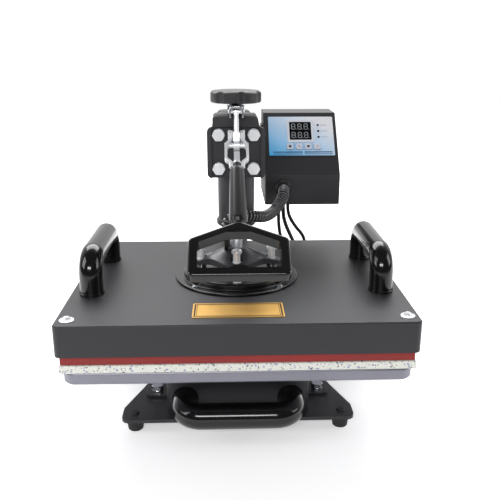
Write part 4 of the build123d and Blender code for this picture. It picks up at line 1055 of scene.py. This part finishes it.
def flat_bar(u, v, long, wide, lift, tip, turned=False):
    """A thin six-sided bar lying on the slope, turned to stand up where that is asked for."""
    deselect_all()
    bpy.ops.mesh.primitive_circle_add(vertices=6, radius=1, fill_type="NGON", location=(0, 0, 0))
    piece = bpy.context.active_object
    corners = [(-long / 2, 0), (-long / 2 + tip, -wide / 2), (long / 2 - tip, -wide / 2), (long / 2, 0),
               (long / 2 - tip, wide / 2), (-long / 2 + tip, wide / 2)]
    for vert, (a, b) in zip(piece.data.vertices, corners):
        across, along = (b, a) if turned else (a, b)
        vert.co = on_slope(u + across, v + along, lift)
    piece.data.update()
    bpy.ops.object.mode_set(mode="EDIT")
    bpy.ops.mesh.select_all(action="SELECT")
    bpy.ops.mesh.extrude_region_move(TRANSFORM_OT_translate={"value": SLOPE_OUT * BAR_THICK / MM_PER_METRE})
    bpy.ops.mesh.select_all(action="SELECT")
    bpy.ops.mesh.normals_make_consistent(inside=False)
    bpy.ops.object.mode_set(mode="OBJECT")
    return piece


def join(name, pieces):
    deselect_all()
    for piece in pieces:
        piece.select_set(True)
    bpy.context.view_layer.objects.active = pieces[0]
    bpy.ops.object.join()
    joined = bpy.context.active_object
    joined.name = name
    joined.data.update()
    return joined


def figure(u, v, lift):
    """Three level bars, four upright ones and the point at the lower right."""
    made = []
    for level in (-1, 0, 1):
        made.append(flat_bar(u, v + level * FIGURE_TALL / 2, FIGURE_WIDE - BAR_GAP, BAR_WIDE, lift, 0.5))
    for side in (-1, 1):
        for level in (-1, 1):
            made.append(flat_bar(u + side * FIGURE_WIDE / 2, v + level * FIGURE_TALL / 4,
                                 FIGURE_TALL / 2 - BAR_GAP, BAR_WIDE, lift, 0.5, True))
    made.append(flat_bar(u + FIGURE_WIDE / 2 + POINT_SHIFT, v - FIGURE_TALL / 2,
                         POINT_SIZE, POINT_SIZE, lift, 0.3))
    return made


window_out = out_of("display_module") - SUNK_IN
bars = []
for row in (-1, 1):
    for column in (-1, 0, 1):
        bars += figure(column * FIGURE_PITCH + FIGURE_SHIFT, WINDOW_V + row * ROW_HALF_PITCH, window_out)
figures = join("display_figures", bars)
dress(figures, "segment_pale")
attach(figures, "arm")
print("figures", len(figures.data.polygons), "faces")

# %% [markdown]
# A product picture is lit from large soft sources. One broad light hangs behind and above, so that
# the flat top shines pale and the front stays dark, and three weaker ones open the sides and the
# front. Each is an area light that is turned to face a place on the machine.

# %% Lights
def softbox(name, place, aim, size, power):
    data = bpy.data.lights.new(name, "AREA")
    data.shape = "RECTANGLE"
    data.size, data.size_y = size
    data.energy = power
    lamp = link_new(name, data)
    lamp.location = place
    lamp.rotation_euler = (Vector(aim) - Vector(place)).to_track_quat("-Z", "Y").to_euler()


softbox("top_light", (-0.1, 1.0, 1.5), (0, 0, 0.12), (2.2, 0.9), 34)
softbox("left_light", (-1.5, -0.5, 1.0), (0, 0, 0.15), (0.8, 0.9), 10)
softbox("right_light", (1.6, -0.3, 0.9), (0, 0, 0.15), (0.7, 0.9), 7)
softbox("front_light", (-0.3, -1.9, 1.15), (0, 0, 0.2), (1.1, 0.3), 17)
print("lights:", len(bpy.data.lights))

# %% [markdown]
# The world is plain white to the camera, but dim in front and bright behind for everything else,
# which leaves the machine's front dark. The floor glows white to the camera and in reflections, less
# so close to the machine, so that its soft shadow still shows there.

# %% Floor and world
def build_world():
    world = bpy.data.worlds.new("studio")
    bpy.context.scene.world = world
    world.use_nodes = True
    tree = world.node_tree
    place = node(tree, "ShaderNodeTexCoord").outputs["Generated"]
    parts = node(tree, "ShaderNodeSeparateXYZ", [(0, place)])
    behind = ranged(tree, parts.outputs[1], 0.05, 0.7, 0.13, 1.0)
    ray = node(tree, "ShaderNodeLightPath")
    feed(tree, tree.nodes["Background"], [
        ("Color", (1, 1, 1, 1)), ("Strength", mixed_value(tree, ray.outputs["Is Camera Ray"], behind, 1.0))])


def build_floor():
    deselect_all()
    bpy.ops.mesh.primitive_plane_add(size=8, location=(0, 0, 0))
    floor = bpy.context.active_object
    floor.name = "floor"
    material, tree, shader = start_finish("pale_floor")
    ray = node(tree, "ShaderNodeLightPath")
    place = object_place(tree)
    parts = node(tree, "ShaderNodeSeparateXYZ", [(0, place)])
    nearer = ranged(tree, parts.outputs[1], -0.6, -0.3)
    shine = calc(tree, "MULTIPLY", ray.outputs["Is Glossy Ray"], nearer)
    seen = calc(tree, "MAXIMUM", ray.outputs["Is Camera Ray"], shine)
    seen = calc(tree, "MAXIMUM", seen, ray.outputs["Is Transmission Ray"])
    reach = node(tree, "ShaderNodeVectorMath", [(0, place)], operation="LENGTH")
    level = ranged(tree, reach.outputs["Value"], 0.45, 1.3, 0.42, 1.0)
    feed(tree, shader, [("Base Color", (0.9, 0.9, 0.91, 1)), ("Roughness", 0.6),
                        ("Emission Color", (1, 1, 1, 1)),
                        ("Emission Strength", calc(tree, "MULTIPLY", seen, level))])
    dress(floor, material.name)


build_world()
build_floor()
bpy.context.scene.view_settings.view_transform = "Standard"
print("floor and world ready")
